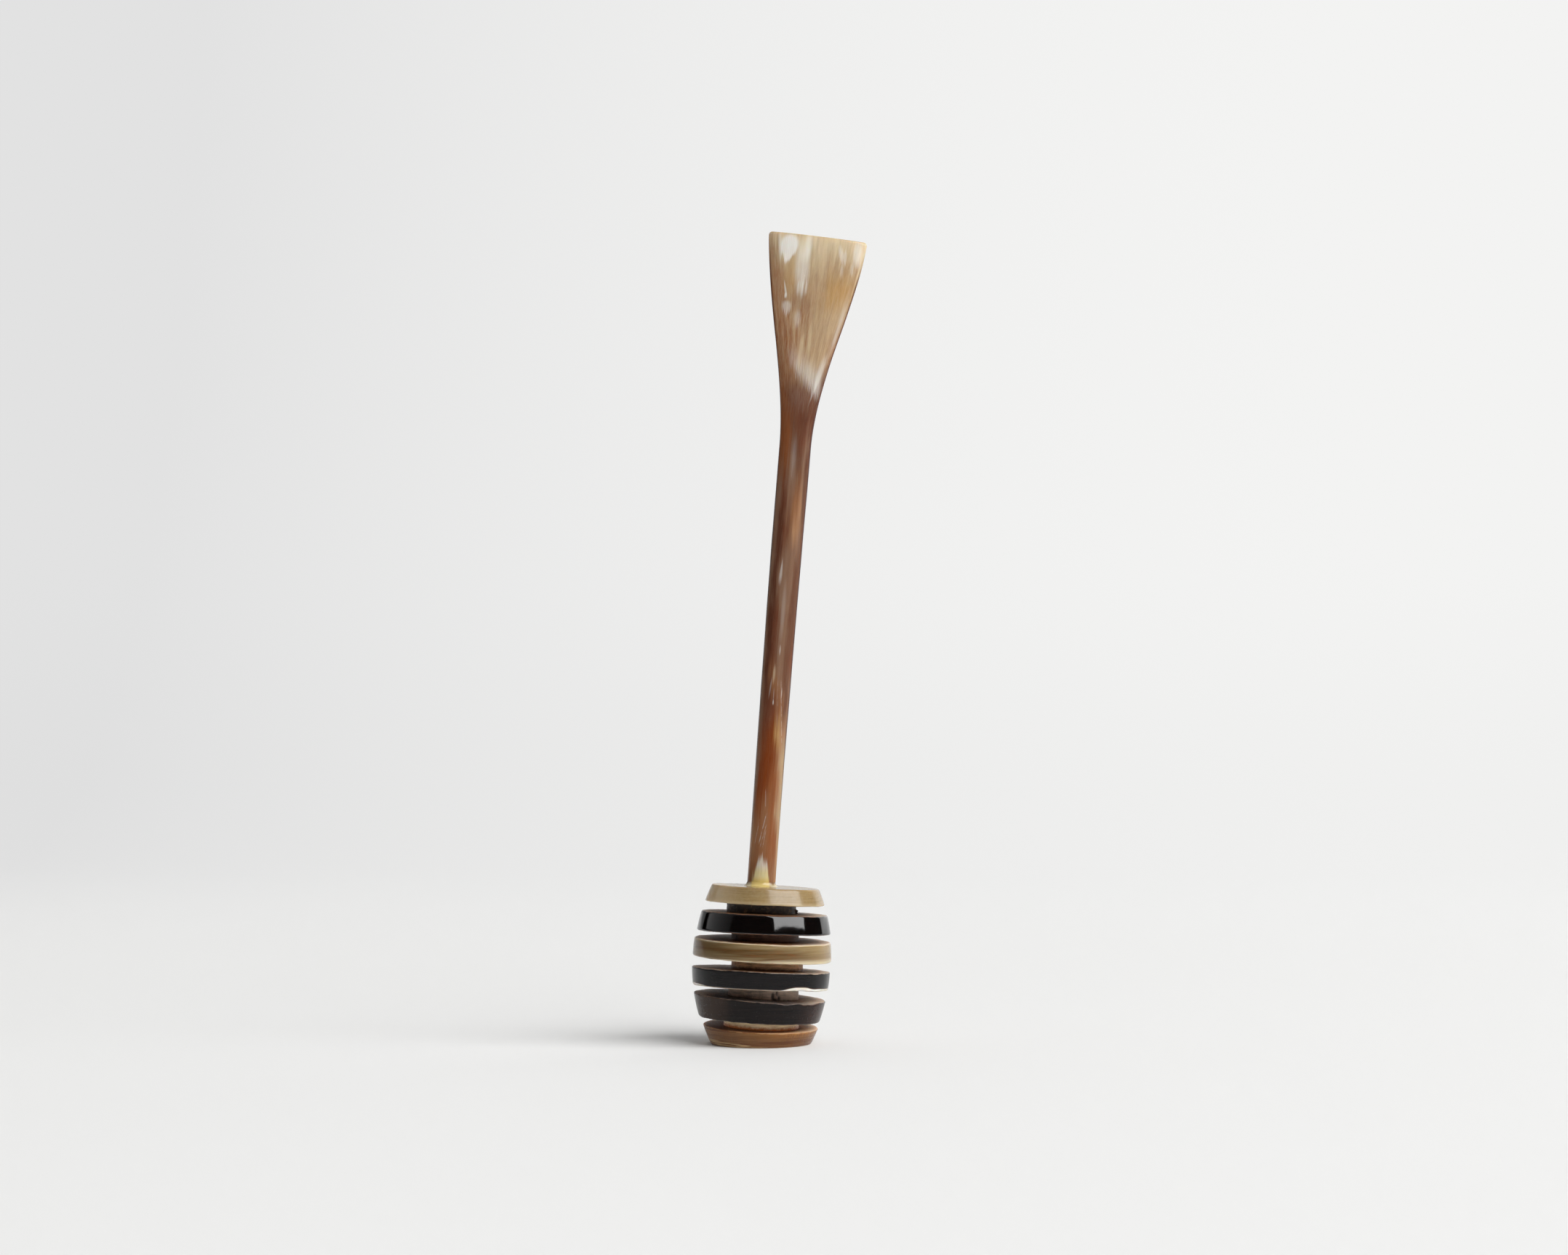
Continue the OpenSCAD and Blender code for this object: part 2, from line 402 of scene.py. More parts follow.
def spacer_rings(barrel, i, style):
    """Rings of the spacer under disc i, which reach just inside the discs above and below.

    With them come each point's place, in mm: height above the lower disc, depth below the upper
    one, and how deep it is torn.
    """
    columns, steps, sunk, cap_share = 192, 16, 0.05 * MM, 0.35
    low_face, high_face = barrel.face(i + 1, True), barrel.face(i, False)
    shift, radius = barrel.head.spacer_shift[i], barrel.head.spacer_r[i]

    def point(step, angle):
        share = min(max(step / steps, 0), 1)
        low = barrel.up_to(low_face, radius, angle, shift) - sunk
        high = barrel.up_to(high_face, radius, angle, shift) + sunk
        up = mix(low, high, share)
        spot = barrel.place(radius, angle, up, shift)
        grit = wobble(spot, 0.9 * MM, i + 20) + 0.6 * wobble(spot, 0.35 * MM, i + 30)
        out = radius - style["rough"] * (1 + grit) + style.get("foot", 0.0) * (1 - share) ** 6
        torn = 0.0
        for at, width, rise, tall, depth in style.get("nicks", ()):
            turn, climb = past(angle, at) / width, (share - rise) / tall
            ragged = 1 + 0.5 * wobble(spot, 0.5 * MM, 40)
            torn += depth * ragged * math.exp(-turn ** 2 - climb ** 2)
        out -= torn
        if step < 0 or step > steps:
            out *= cap_share
        return (barrel.place(out, angle, up, shift),
                (share * (high - low) / MM, (1 - share) * (high - low) / MM, torn / MM))

    return swept(range(-1, steps + 2), columns, point)


# The handle's shape


class HandleForm:
    """The handle's middle line and its oval section, by height above the top disc."""

    STEM_POWER, FLARE_POWER = 2.2, 2.6  # of the superellipse that the section is
    SEAT = 6 * MM  # the height over which the foot slants to sit flat on the top disc

    def __init__(self, handle, barrel):
        self.handle = handle
        self.barrel = barrel
        self.length = handle.stem_len + handle.flare_len
        self.foot_x = barrel.height * math.tan(barrel.head.lean) + handle.foot_shift

    def open_share(self, up):
        return ease((up - self.handle.stem_len) / self.handle.flare_run)

    def middle(self, up):
        h, v = self.handle, up / self.length
        x = (self.foot_x + up * math.tan(h.stem_lean) + h.side_bend * v * v
             + h.flare_shift * self.open_share(up))
        y = h.back_bow * math.sin(math.pi * v) - h.tip_forward * v * v
        return x, y

    def half(self, up, foot, neck, end):
        """Half the size at a height of what measures foot, neck and end at those places."""
        stem = mix(foot, neck, ease(up / self.handle.stem_len))
        return mix(stem, end, self.open_share(up)) / 2

    def point(self, up, angle, swell=0.0):
        """A point of the outside at a height, its place in mm and its grain.

        The place is across, in depth and along. The grain is the same, but with shares of the half
        width and the half depth.
        """
        h, share = self.handle, self.open_share(up)
        power = 2 / mix(self.STEM_POWER, self.FLARE_POWER, share)
        c, s = math.cos(angle), math.sin(angle)
        wide = self.half(up, h.foot_w, h.neck_w, h.flare_w) + swell
        deep = self.half(up, h.foot_d, h.neck_d, h.tip_d) + swell
        x = wide * math.copysign(abs(c) ** power, c)
        y = deep * math.copysign(abs(s) ** power, s)
        arch = h.flare_arch * share * (x / wide) ** 2
        slope = mix(h.stem_lean, h.tip_slope, share)
        mid_x, mid_y = self.middle(up)
        spot = Vector((mid_x + x * math.cos(slope), mid_y + y + arch,
                       self.barrel.height + up - x * math.sin(slope)))
        seat = self.barrel.height_on(self.barrel.face(0, True), spot.x, spot.y)
        level = self.barrel.height - x * math.sin(slope)
        spot.z += (seat - level) * (1 - ease(up / self.SEAT))
        return spot, (x / MM, y / MM, up / MM), (x / wide, y / deep, up / MM)


def handle_rings(form):
    """Rings up the handle and over its rounded tip, with each point's place and grain."""
    columns, steps, tip_steps, sunk = 160, 330, 8, 0.05 * MM
    carved, wave, uncarved_foot = 0.06 * MM, 2.6 * MM, 3 * MM
    tip_round = form.handle.tip_round
    shoulder = form.length - tip_round
    levels = [(-sunk, 0.0)]
    levels += [(shoulder * k / steps, 0.0) for k in range(1, steps)]
    levels += [(shoulder, math.pi / 2 * k / tip_steps) for k in range(tip_steps + 1)]

    def point(level, angle):
        up, turn = level
        inset = 0.0
        if up == shoulder:
            rounded_edge = tip_round * mix(0.4, 1.0, abs(math.cos(angle)) ** 3)
            up = form.length - rounded_edge * (1 - math.sin(turn))
            inset = rounded_edge * (1 - math.cos(turn))
        spot, place, grain = form.point(up, angle)
        carve = carved * (1 + wobble((spot.x, spot.y, spot.z / 3), wave, 7)) / 2
        carve *= ease(up / uncarved_foot)
        return form.point(up, angle, -inset - carve)[0], place, grain

    return swept(levels, columns, point)


def glue_rings(form):
    """Closed loops of the glue's section: up its hollow outside, and down against the foot."""
    columns, steps, edge, sunk = 144, 12, -0.03 * MM, 0.12 * MM
    width, height = form.handle.bead_w, form.handle.bead_h
    turns = [math.pi / 2 * k / steps for k in range(steps + 1)]
    loop = [(height * (1 - math.cos(turn)), edge + (width - edge) * (1 - math.sin(turn)))
            for turn in turns]
    loop += [(height, -sunk), (height / 2, -sunk), (-sunk, -sunk), (-sunk, width / 2)]

    def point(level, angle):
        up, out = level
        spread = 1 - 0.25 * (0.5 + 0.5 * wobble((math.cos(angle), math.sin(angle), 0), 0.6, 3))
        reach = out * spread if out > edge else out
        return form.point(up * spread if up > 0 else up, angle, reach)[:2]

    return swept(loop, columns, point)


# Shader building


class Wire:
    """A node's output. A sum, product or remap of it adds a node, so materials read as formulas."""

    def __init__(self, nodes, socket):
        self.nodes = nodes
        self.socket = socket

    def __add__(self, other):
        return self.nodes.math("ADD", self, other)

    def __sub__(self, other):
        return self.nodes.math("SUBTRACT", self, other)

    def __rsub__(self, other):
        return self.nodes.math("SUBTRACT", other, self)

    def __mul__(self, other):
        return self.nodes.math("MULTIPLY", self, other)

    def __truediv__(self, other):
        return self.nodes.math("DIVIDE", self, other)

    def __abs__(self):
        return self.nodes.math("ABSOLUTE", self)

    def split(self):
        node = self.nodes.add("SeparateXYZ", {0: self})
        return [Wire(self.nodes, socket) for socket in node.outputs]

    def remap(self, low, high, to_low=0.0, to_high=1.0, smooth=True):
        """Takes low to to_low and high to to_high, and stays there beyond them."""
        return self.nodes.out(0, "MapRange", {"Value": self, "From Min": low, "From Max": high,
                                              "To Min": to_low, "To Max": to_high},
                              interpolation_type="SMOOTHSTEP" if smooth else "LINEAR")


class Nodes:
    """Adds shader nodes to a tree. What isn't a wire is set on the socket that it is put into."""

    def __init__(self, tree):
        self.tree = tree

    def put(self, socket, value):
        if isinstance(value, Wire):
            self.tree.links.new(value.socket, socket)
        else:
            socket.default_value = value

    def add(self, kind, inputs=(), **settings):
        """A new node, with its inputs by name or number."""
        node = self.tree.nodes.new("ShaderNode" + kind)
        node.location = (190 * (len(self.tree.nodes) % 12), -260 * (len(self.tree.nodes) // 12))
        for key, value in settings.items():
            setattr(node, key, value)
        for key, value in dict(inputs).items():
            self.put(node.inputs[key], value)
        return node

    def out(self, output, kind, inputs=(), **settings):
        """One output, by name or number, of a new node."""
        return Wire(self, self.add(kind, inputs, **settings).outputs[output])

    def feed(self, node, **inputs):
        """Puts values into a node's inputs, by names such as base_color."""
        for name, value in inputs.items():
            self.put(node.inputs[label_of(name)], value)

    def wires(self, node):
        """A node's outputs by name."""
        return {socket.name: Wire(self, socket) for socket in node.outputs}

    def math(self, operation, *values, **settings):
        """Maths on numbers or, if the first value is a vector, on vectors."""
        vector = isinstance(values[0], Wire) and values[0].socket.type == "VECTOR"
        return self.out("Vector" if vector and operation != "LENGTH" else "Value",
                        "VectorMath" if vector else "Math", enumerate(values),
                        operation=operation, **settings)

    def most(self, first, *others):
        """The greatest of some numbers."""
        for other in others:
            first = self.math("MAXIMUM", first, other)
        return first

    def scale(self, colour, amount):
        return self.out("Vector", "VectorMath", {0: colour, "Scale": amount}, operation="SCALE")

    def join(self, x, y, z):
        return self.out(0, "CombineXYZ", enumerate((x, y, z)))

    def noise(self, vector, scale, detail=2.0, roughness=0.5):
        return self.out("Fac", "TexNoise", {"Vector": vector, "Scale": scale, "Detail": detail,
                                            "Roughness": roughness})

    def blend(self, share, first, second):
        return self.out("Result", "Mix", {"Factor": share, "A": first, "B": second},
                        data_type="RGBA")

    def ramp(self, value, stops):
        node = self.add("ValToRGB", {0: value})
        elements = node.color_ramp.elements
        while len(elements) < len(stops):
            elements.new(0.5)
        for element, (at, colour) in zip(elements, stops):
            element.position = at
            element.color = colour
        return Wire(self, node.outputs["Color"])

    def attribute(self, name):
        return self.out("Vector", "Attribute", attribute_name=name)

    def coordinates(self, kind):
        return self.out(kind, "TexCoord")

    def object_mm(self):
        """The point in the object's own frame, in mm."""
        return self.coordinates("Object") * (1 / MM, 1 / MM, 1 / MM)

    def group(self, name, **inputs):
        node = self.add("Group", node_tree=bpy.data.node_groups[name])
        self.feed(node, **inputs)
        return self.wires(node)

    def bump(self, height, distance, strength):
        return self.out("Normal", "Bump", {"Height": height, "Distance": distance,
                                           "Strength": strength})

    def mix_shaders(self, share, first, second):
        """A mix of two shaders, which are given as nodes."""
        return self.out(0, "MixShader", {0: share, 1: Wire(self, first.outputs[0]),
                                         2: Wire(self, second.outputs[0])})


def label_of(name):
    """The label of the socket that code calls by a name such as base_color."""
    return name.replace("_", " ").title().replace("Ior", "IOR")


ORIGIN = (0, 0, 0)
SOCKETS = {1: "NodeSocketFloat", 3: "NodeSocketVector", 4: "NodeSocketColor"}


def new_group(name, outputs, **inputs):
    """An empty shader group, as its nodes, its inner inputs by label and its output node.

    outputs says how many numbers each output has, and inputs are given by their defaults.
    """
    tree = bpy.data.node_groups.new(name, "ShaderNodeTree")
    for key, default in inputs.items():
        kind = SOCKETS[len(default) if isinstance(default, tuple) else 1]
        socket = tree.interface.new_socket(name=label_of(key), in_out="INPUT", socket_type=kind)
        socket.default_value = default
    for label, size in outputs.items():
        tree.interface.new_socket(name=label, in_out="OUTPUT", socket_type=SOCKETS[size])
    nodes = Nodes(tree)
    return nodes, nodes.wires(tree.nodes.new("NodeGroupInput")), tree.nodes.new("NodeGroupOutput")


def horn_grain_group():
    """Streaks of horn at three widths. Grain Size is one streak's size along each axis, in mm."""
    nodes, given, result = new_group("Horn Grain", {"Bands": 1, "Streaks": 1, "Fibres": 1},
                                     vector=ORIGIN, grain_size=(0.5, 0.5, 15), seed=0.0)
    seed = given["Seed"]
    place = given["Vector"] / given["Grain Size"] + nodes.join(seed, seed, seed)
    nodes.feed(result, bands=nodes.noise(place, 0.33, 1, 0.5).remap(0.34, 0.66),
               streaks=nodes.noise(place, 1, 3, 0.55).remap(0.32, 0.68),
               fibres=nodes.noise(place, 3.1, 4, 0.65).remap(0.3, 0.7))


def polish_group():
    """Hand polish: smudged gloss with fine scratches, by the point in mm."""
    nodes, given, result = new_group("Hand Polish", {"Roughness": 1, "Height": 1}, vector=ORIGIN,
                                     roughness=0.2, smudges=0.1, scratches=0.15)
    place = given["Vector"]
    smudge = nodes.noise(place, 0.35, 3, 0.55)
    pores = nodes.noise(place, 5, 3, 0.6)
    scratch = nodes.most(*[nodes.noise(place * stretch, 1, 2, 0.5).remap(0.66, 0.74)
                           for stretch in ((0.5, 0.5, 9), (6, 1.2, 1), (1, 5, 2.4))])
    rough = given["Roughness"] + (smudge - 0.5) * given["Smudges"] + scratch * given["Scratches"]
    nodes.feed(result, roughness=rough, height=pores * 0.25 + smudge * 0.6 - scratch * 0.2)


def patch_group():
    """A soft oval mask, narrower below by its taper and drawn out there into fibres by its pull."""
    nodes, given, result = new_group("Soft Patch", {"Mask": 1}, vector=ORIGIN, centre=ORIGIN,
                                     half_size=(1, 1, 1), softness=0.3, taper=0.0, pull=0.0)
    x, y, z = ((given["Vector"] - given["Centre"]) / given["Half Size"]).split()
    z = z + given["Pull"] * z.remap(0.6, -0.7)
    wide = nodes.most(z * given["Taper"] + 1, 0.2)
    far = nodes.math("LENGTH", nodes.join(x / wide, y, z))
    nodes.feed(result, mask=far.remap(1 - given["Softness"], given["Softness"] + 1, 1, 0))


def brushed_group():
    """Moves each point along the grain by its fibre, so that what is laid out ends in fibres."""
    nodes, given, result = new_group("Brushed Ends", {"Vector": 3}, vector=ORIGIN, fibre=0.3,
                                     reach=3.0)
    x, y, z = given["Vector"].split()
    strand = nodes.join(x / given["Fibre"], y / given["Fibre"], z * 0.05)
    pull = nodes.noise(strand, 1, 3, 0.6) - 0.5
    nodes.feed(result, vector=nodes.join(x, y, pull * given["Reach"] + z))


def sawn_group():
    """The unpolished face of a disc: saw marks, pits and dirt over a base colour."""
    nodes, given, result = new_group("Sawn Face", {"Color": 4, "Roughness": 1, "Height": 1},
                                     vector=ORIGIN, mark_size=(6, 0.3, 1.6),
                                     color=(0.2, 0.1, 0.05, 1), dirt_color=(0.02, 0.01, 0.01, 1),
                                     dirt=0.5)
    place = given["Vector"]
    marks = nodes.noise(place / given["Mark Size"], 1, 3, 0.6)
    grit = nodes.noise(place, 4, 5, 0.7)
    dark_zone = nodes.noise(place, 0.35, 4, 0.6)
    dirty = (grit * 0.35 + dark_zone).remap(0.62, 0.9)
    dirty = nodes.math("MULTIPLY", dirty, given["Dirt"], use_clamp=True)
    base = nodes.scale(given["Color"], marks.remap(0.3, 0.7, 0.72, 1.2))
    nodes.feed(result, color=nodes.blend(dirty, base, given["Dirt Color"]),
               roughness=grit.remap(0.3, 0.7, 0.34, 0.62), height=marks * 0.6 + grit)


def build_groups():
    for build in (horn_grain_group, polish_group, patch_group, brushed_group, sawn_group):
        build()


def new_material(name, **fixed):
    """A material with its Principled shader, whose plain values are set on its own sockets."""
    material = bpy.data.materials.new(name)
    material.use_nodes = True
    tree = material.node_tree
    tree.nodes.clear()
    nodes = Nodes(tree)
    shader = nodes.add("BsdfPrincipled")
    nodes.add("OutputMaterial", {0: Wire(nodes, shader.outputs[0])})
    nodes.feed(shader, **fixed)
    return material, nodes, shader


HORN = dict(ior=1.54, coat_roughness=0.06, subsurface_weight=0.35,
            subsurface_radius=(1.0, 0.45, 0.2), subsurface_scale=2.0 * MM)


def tones(colours, *names):
    """Colours of the palette by name."""
    return [tuple(getattr(colours, name)) for name in names]


# The handle's tones by lane, from the left edge to the right one. A lane's place is the share of
# the half width at its middle, and each tone comes after its height above the top disc, in mm.
# Mauve is partly the horn's greyish brown and partly painted sheen: the soft band down the middle
# of the stem and the grey veil along its left edge
LANES = (
    (-0.9, "2 clay, 9 sand, 16 mauve, 78 mauve, 86 rust, 97 rust, 104 clay, 112 sand, 120 sand, "
           "125 tan, 128 cream"),
    (-0.55, "1 tan, 3 clay, 11 clay, 15 rust, 20 amber, 26 amber, 33 chestnut, 42 umber, "
            "72 umber, 79 chestnut, 86 rust, 90 rust, 97 chestnut, 103 clay, 107 sand, 119 tan, "
            "126 cream"),
    (-0.25, "2 clay, 14 clay, 19 amber, 30 amber, 36 chestnut, 40 clay, 46 chestnut, "
            "54 chestnut, 62 mauve, 70 chestnut, 78 mauve, 84 mauve, 91 bark, 98 chestnut, "
            "103 sand, 113 tan, 121 tan, 126 cream"),
    (0.05, "2 clay, 15 clay, 20 rust, 25 amber, 31 amber, 36 chestnut, 40 clay, 44 mauve, "
           "66 mauve, 74 clay, 80 mauve, 86 bark, 92 chestnut, 98 chestnut, 103 tan, 119 tan, "
           "126 cream"),
    (0.4, "2 clay, 12 rust, 21 rust, 26 clay, 30 honey, 35 clay, 42 mauve, 66 mauve, 70 sand, "
          "76 clay, 83 bark, 88 chestnut, 92 umber, 98 chestnut, 103 tan, 112 tan, 118 honey, "
          "122 tan, 127 cream"),
    (0.66, "2 clay, 10 rust, 14 tan, 19 sand, 25 tan, 30 sand, 35 bark, 62 bark, 68 mauve, "
           "75 sand, 81 mauve, 87 mauve, 92 chestnut, 98 chestnut, 103 tan, 113 tan, 118 honey, "
           "123 tan, 128 cream"),
    (0.92, "2 sand, 14 tan, 25 tan, 30 mauve, 38 mauve, 45 chestnut, 50 bark, 80 bark, "
           "90 umber, 100 umber, 106 clay, 112 tan, 117 tan, 124 cream, 128 cream"),
)
LANE_MM = 128.0


class Mark(NamedTuple):
    """A mark in the handle, in mm: its middle across and along, half its size and how it ends."""

    across: float
    along: float
    wide: float
    tall: float
    softness: float
    weight: float
    tone: str = "white"
    taper: float = 0.0
    lean: float = 0.0
    reach: float = 0.0


MARKS = (
    # The flare's tip, from left to right
    Mark(-4.4, 120.5, 1.6, 3.6, 0.7, 0.4, "honey"),
    Mark(-5.55, 125.1, 1.6, 2.7, 0.2, 1.0, taper=0.42, lean=0.08, reach=1.5),
    Mark(-7.3, 125.6, 0.35, 2.4, 0.6, 0.4, lean=-0.12, reach=1.5),
    Mark(-2.6, 125.6, 1.0, 2.6, 0.5, 0.7, "cream"),
    Mark(-2.5, 121.6, 1.25, 4.4, 0.55, 0.55, reach=4.0, lean=-0.05),
    Mark(-1.7, 126.2, 0.6, 2.6, 0.6, 0.5),
    Mark(-2.85, 117.9, 0.2, 1.5, 0.6, 0.4, taper=-0.5),
    Mark(-2.0, 117.7, 0.2, 1.7, 0.6, 0.45, taper=-0.5),
    Mark(-1.3, 118.0, 0.17, 1.4, 0.6, 0.4, taper=-0.5),
    Mark(-5.35, 117.3, 0.17, 1.5, 0.5, 0.5, taper=-0.5, lean=-0.25),
    Mark(-5.15, 116.0, 0.2, 0.5, 0.6, 0.6),
    Mark(-4.7, 113.7, 0.8, 1.2, 0.4, 0.42, taper=0.3, reach=2.2),
    Mark(-2.3, 111.9, 0.6, 1.5, 0.6, 0.25, reach=2.0),
    Mark(-2.1, 115.4, 1.6, 1.8, 0.8, 0.35, "mauve", reach=3.0),
    Mark(4.9, 125.1, 0.45, 1.5, 0.6, 0.4, lean=-0.25, reach=1.8),
    Mark(5.7, 124.6, 0.3, 1.3, 0.5, 0.35, reach=1.6),
    Mark(5.3, 121.8, 0.3, 1.3, 0.6, 0.25, reach=1.4),
    Mark(7.3, 122.4, 0.3, 1.1, 0.6, 0.25, reach=1.4),
    Mark(8.1, 125.7, 0.8, 2.1, 0.5, 0.5, reach=2.0),
    Mark(9.3, 126.6, 0.4, 2.4, 0.5, 0.5, "cream", lean=0.2),
    Mark(5.3, 117.6, 2.8, 3.2, 0.8, 0.3, "honey"),
    # The bottom of the flare
    Mark(3.1, 100.2, 0.45, 3.9, 0.6, 0.42, taper=0.6, lean=0.24, reach=1.6),
    Mark(-0.9, 105.4, 0.4, 3.2, 0.5, 0.45, "cream", reach=2.0),
    Mark(0.6, 108.0, 0.35, 3.0, 0.6, 0.3, "cream", reach=2.0),
    Mark(0.2, 96.6, 1.9, 2.4, 0.7, 0.04, reach=5.0),
    # The stem, from the neck down
    Mark(-0.1, 84.6, 0.4, 3.4, 0.8, 0.14, reach=3.0),
    Mark(-0.72, 62.2, 0.22, 2.1, 0.6, 0.36, taper=-0.55, lean=0.05),
    Mark(0.3, 54.4, 0.35, 4.5, 0.7, 0.12),
    Mark(0.3, 46.6, 0.12, 0.9, 0.6, 0.4, reach=0.6),
    Mark(-0.5, 42.0, 0.22, 1.4, 0.6, 0.35, "cream", reach=1.8),
    Mark(-1.05, 39.2, 0.13, 1.6, 0.7, 0.2, lean=0.08, reach=1.0),
    Mark(1.25, 38.1, 0.09, 1.0, 0.6, 0.35),
    Mark(-0.27, 36.4, 0.1, 0.5, 0.5, 0.5, taper=-0.4),
    Mark(-0.3, 37.8, 0.07, 1.2, 0.6, 0.2),
)


class Hair(NamedTuple):
    """A hairline on the handle, from one place across and along to another, in mm."""

    from_across: float
    from_along: float
    to_across: float
    to_along: float
    wide: float
    weight: float


HAIRS = (
    Hair(-1.9, 118.8, -1.7, 122.4, 0.12, 0.5),
    Hair(0.95, 41.0, 2.1, 27.5, 0.13, 0.18),
    Hair(0.3, 41.0, 0.9, 31.0, 0.1, 0.1),
    Hair(-0.5, 19.5, -0.2, 15.0, 0.13, 0.18),
    Hair(-1.1, 8.2, 0.1, 14.8, 0.14, 0.3),
    Hair(-0.8, 7.6, 0.25, 12.6, 0.12, 0.24),
    Hair(-0.3, 7.4, 0.2, 11.5, 0.12, 0.22),
    Hair(-1.9, 8.0, -1.2, 13.5, 0.12, 0.16),
)


def lengthwise(nodes, along, colours, tones_up):
    """A ramp of one lane's tones over the height above the top disc, in mm."""
    stops = [stop.split() for stop in tones_up.split(", ")]
    return nodes.ramp(along / LANE_MM, [(float(up) / LANE_MM, *tones(colours, name))
                                        for up, name in stops])


def lanes(nodes, share, along, colours):
    """The handle's tone, blended from lane to lane across it."""
    colour = lengthwise(nodes, along, colours, LANES[0][1])
    for (low, _), (high, tones_up) in zip(LANES, LANES[1:]):
        colour = nodes.blend(share.remap(low, high), colour,
                             lengthwise(nodes, along, colours, tones_up))
    return colour


def draw_mark(nodes, place, strand, front, mark):
    """The mask of one mark, a patch that reaches from the front of the handle into it."""
    middle_depth, deep = -1.5, 4.0
    if mark.lean:
        across, depth, up = place.split()
        place = nodes.join((up - mark.along) * -mark.lean + across, depth, up)
    pull = strand * (mark.reach / mark.tall) if mark.reach else 0.0
    patch = nodes.group("Soft Patch", vector=place, centre=(mark.across, middle_depth, mark.along),
                        half_size=(mark.wide, deep, mark.tall), softness=mark.softness,
                        taper=mark.taper, pull=pull)
    return patch["Mask"] * front * mark.weight


def draw_hair(across, up, front, hair):
    """The mask of one hairline, which fades out at both ends."""
    fade = 1.0
    slant = (hair.to_across - hair.from_across) / (hair.to_along - hair.from_along)
    low, high = sorted((hair.from_along, hair.to_along))
    middle = up * slant + (hair.from_across - hair.from_along * slant)
    run = up.remap(low, low + fade) * up.remap(high, high - fade)
    return abs(across - middle).remap(hair.wide, 0) * run * front * hair.weight


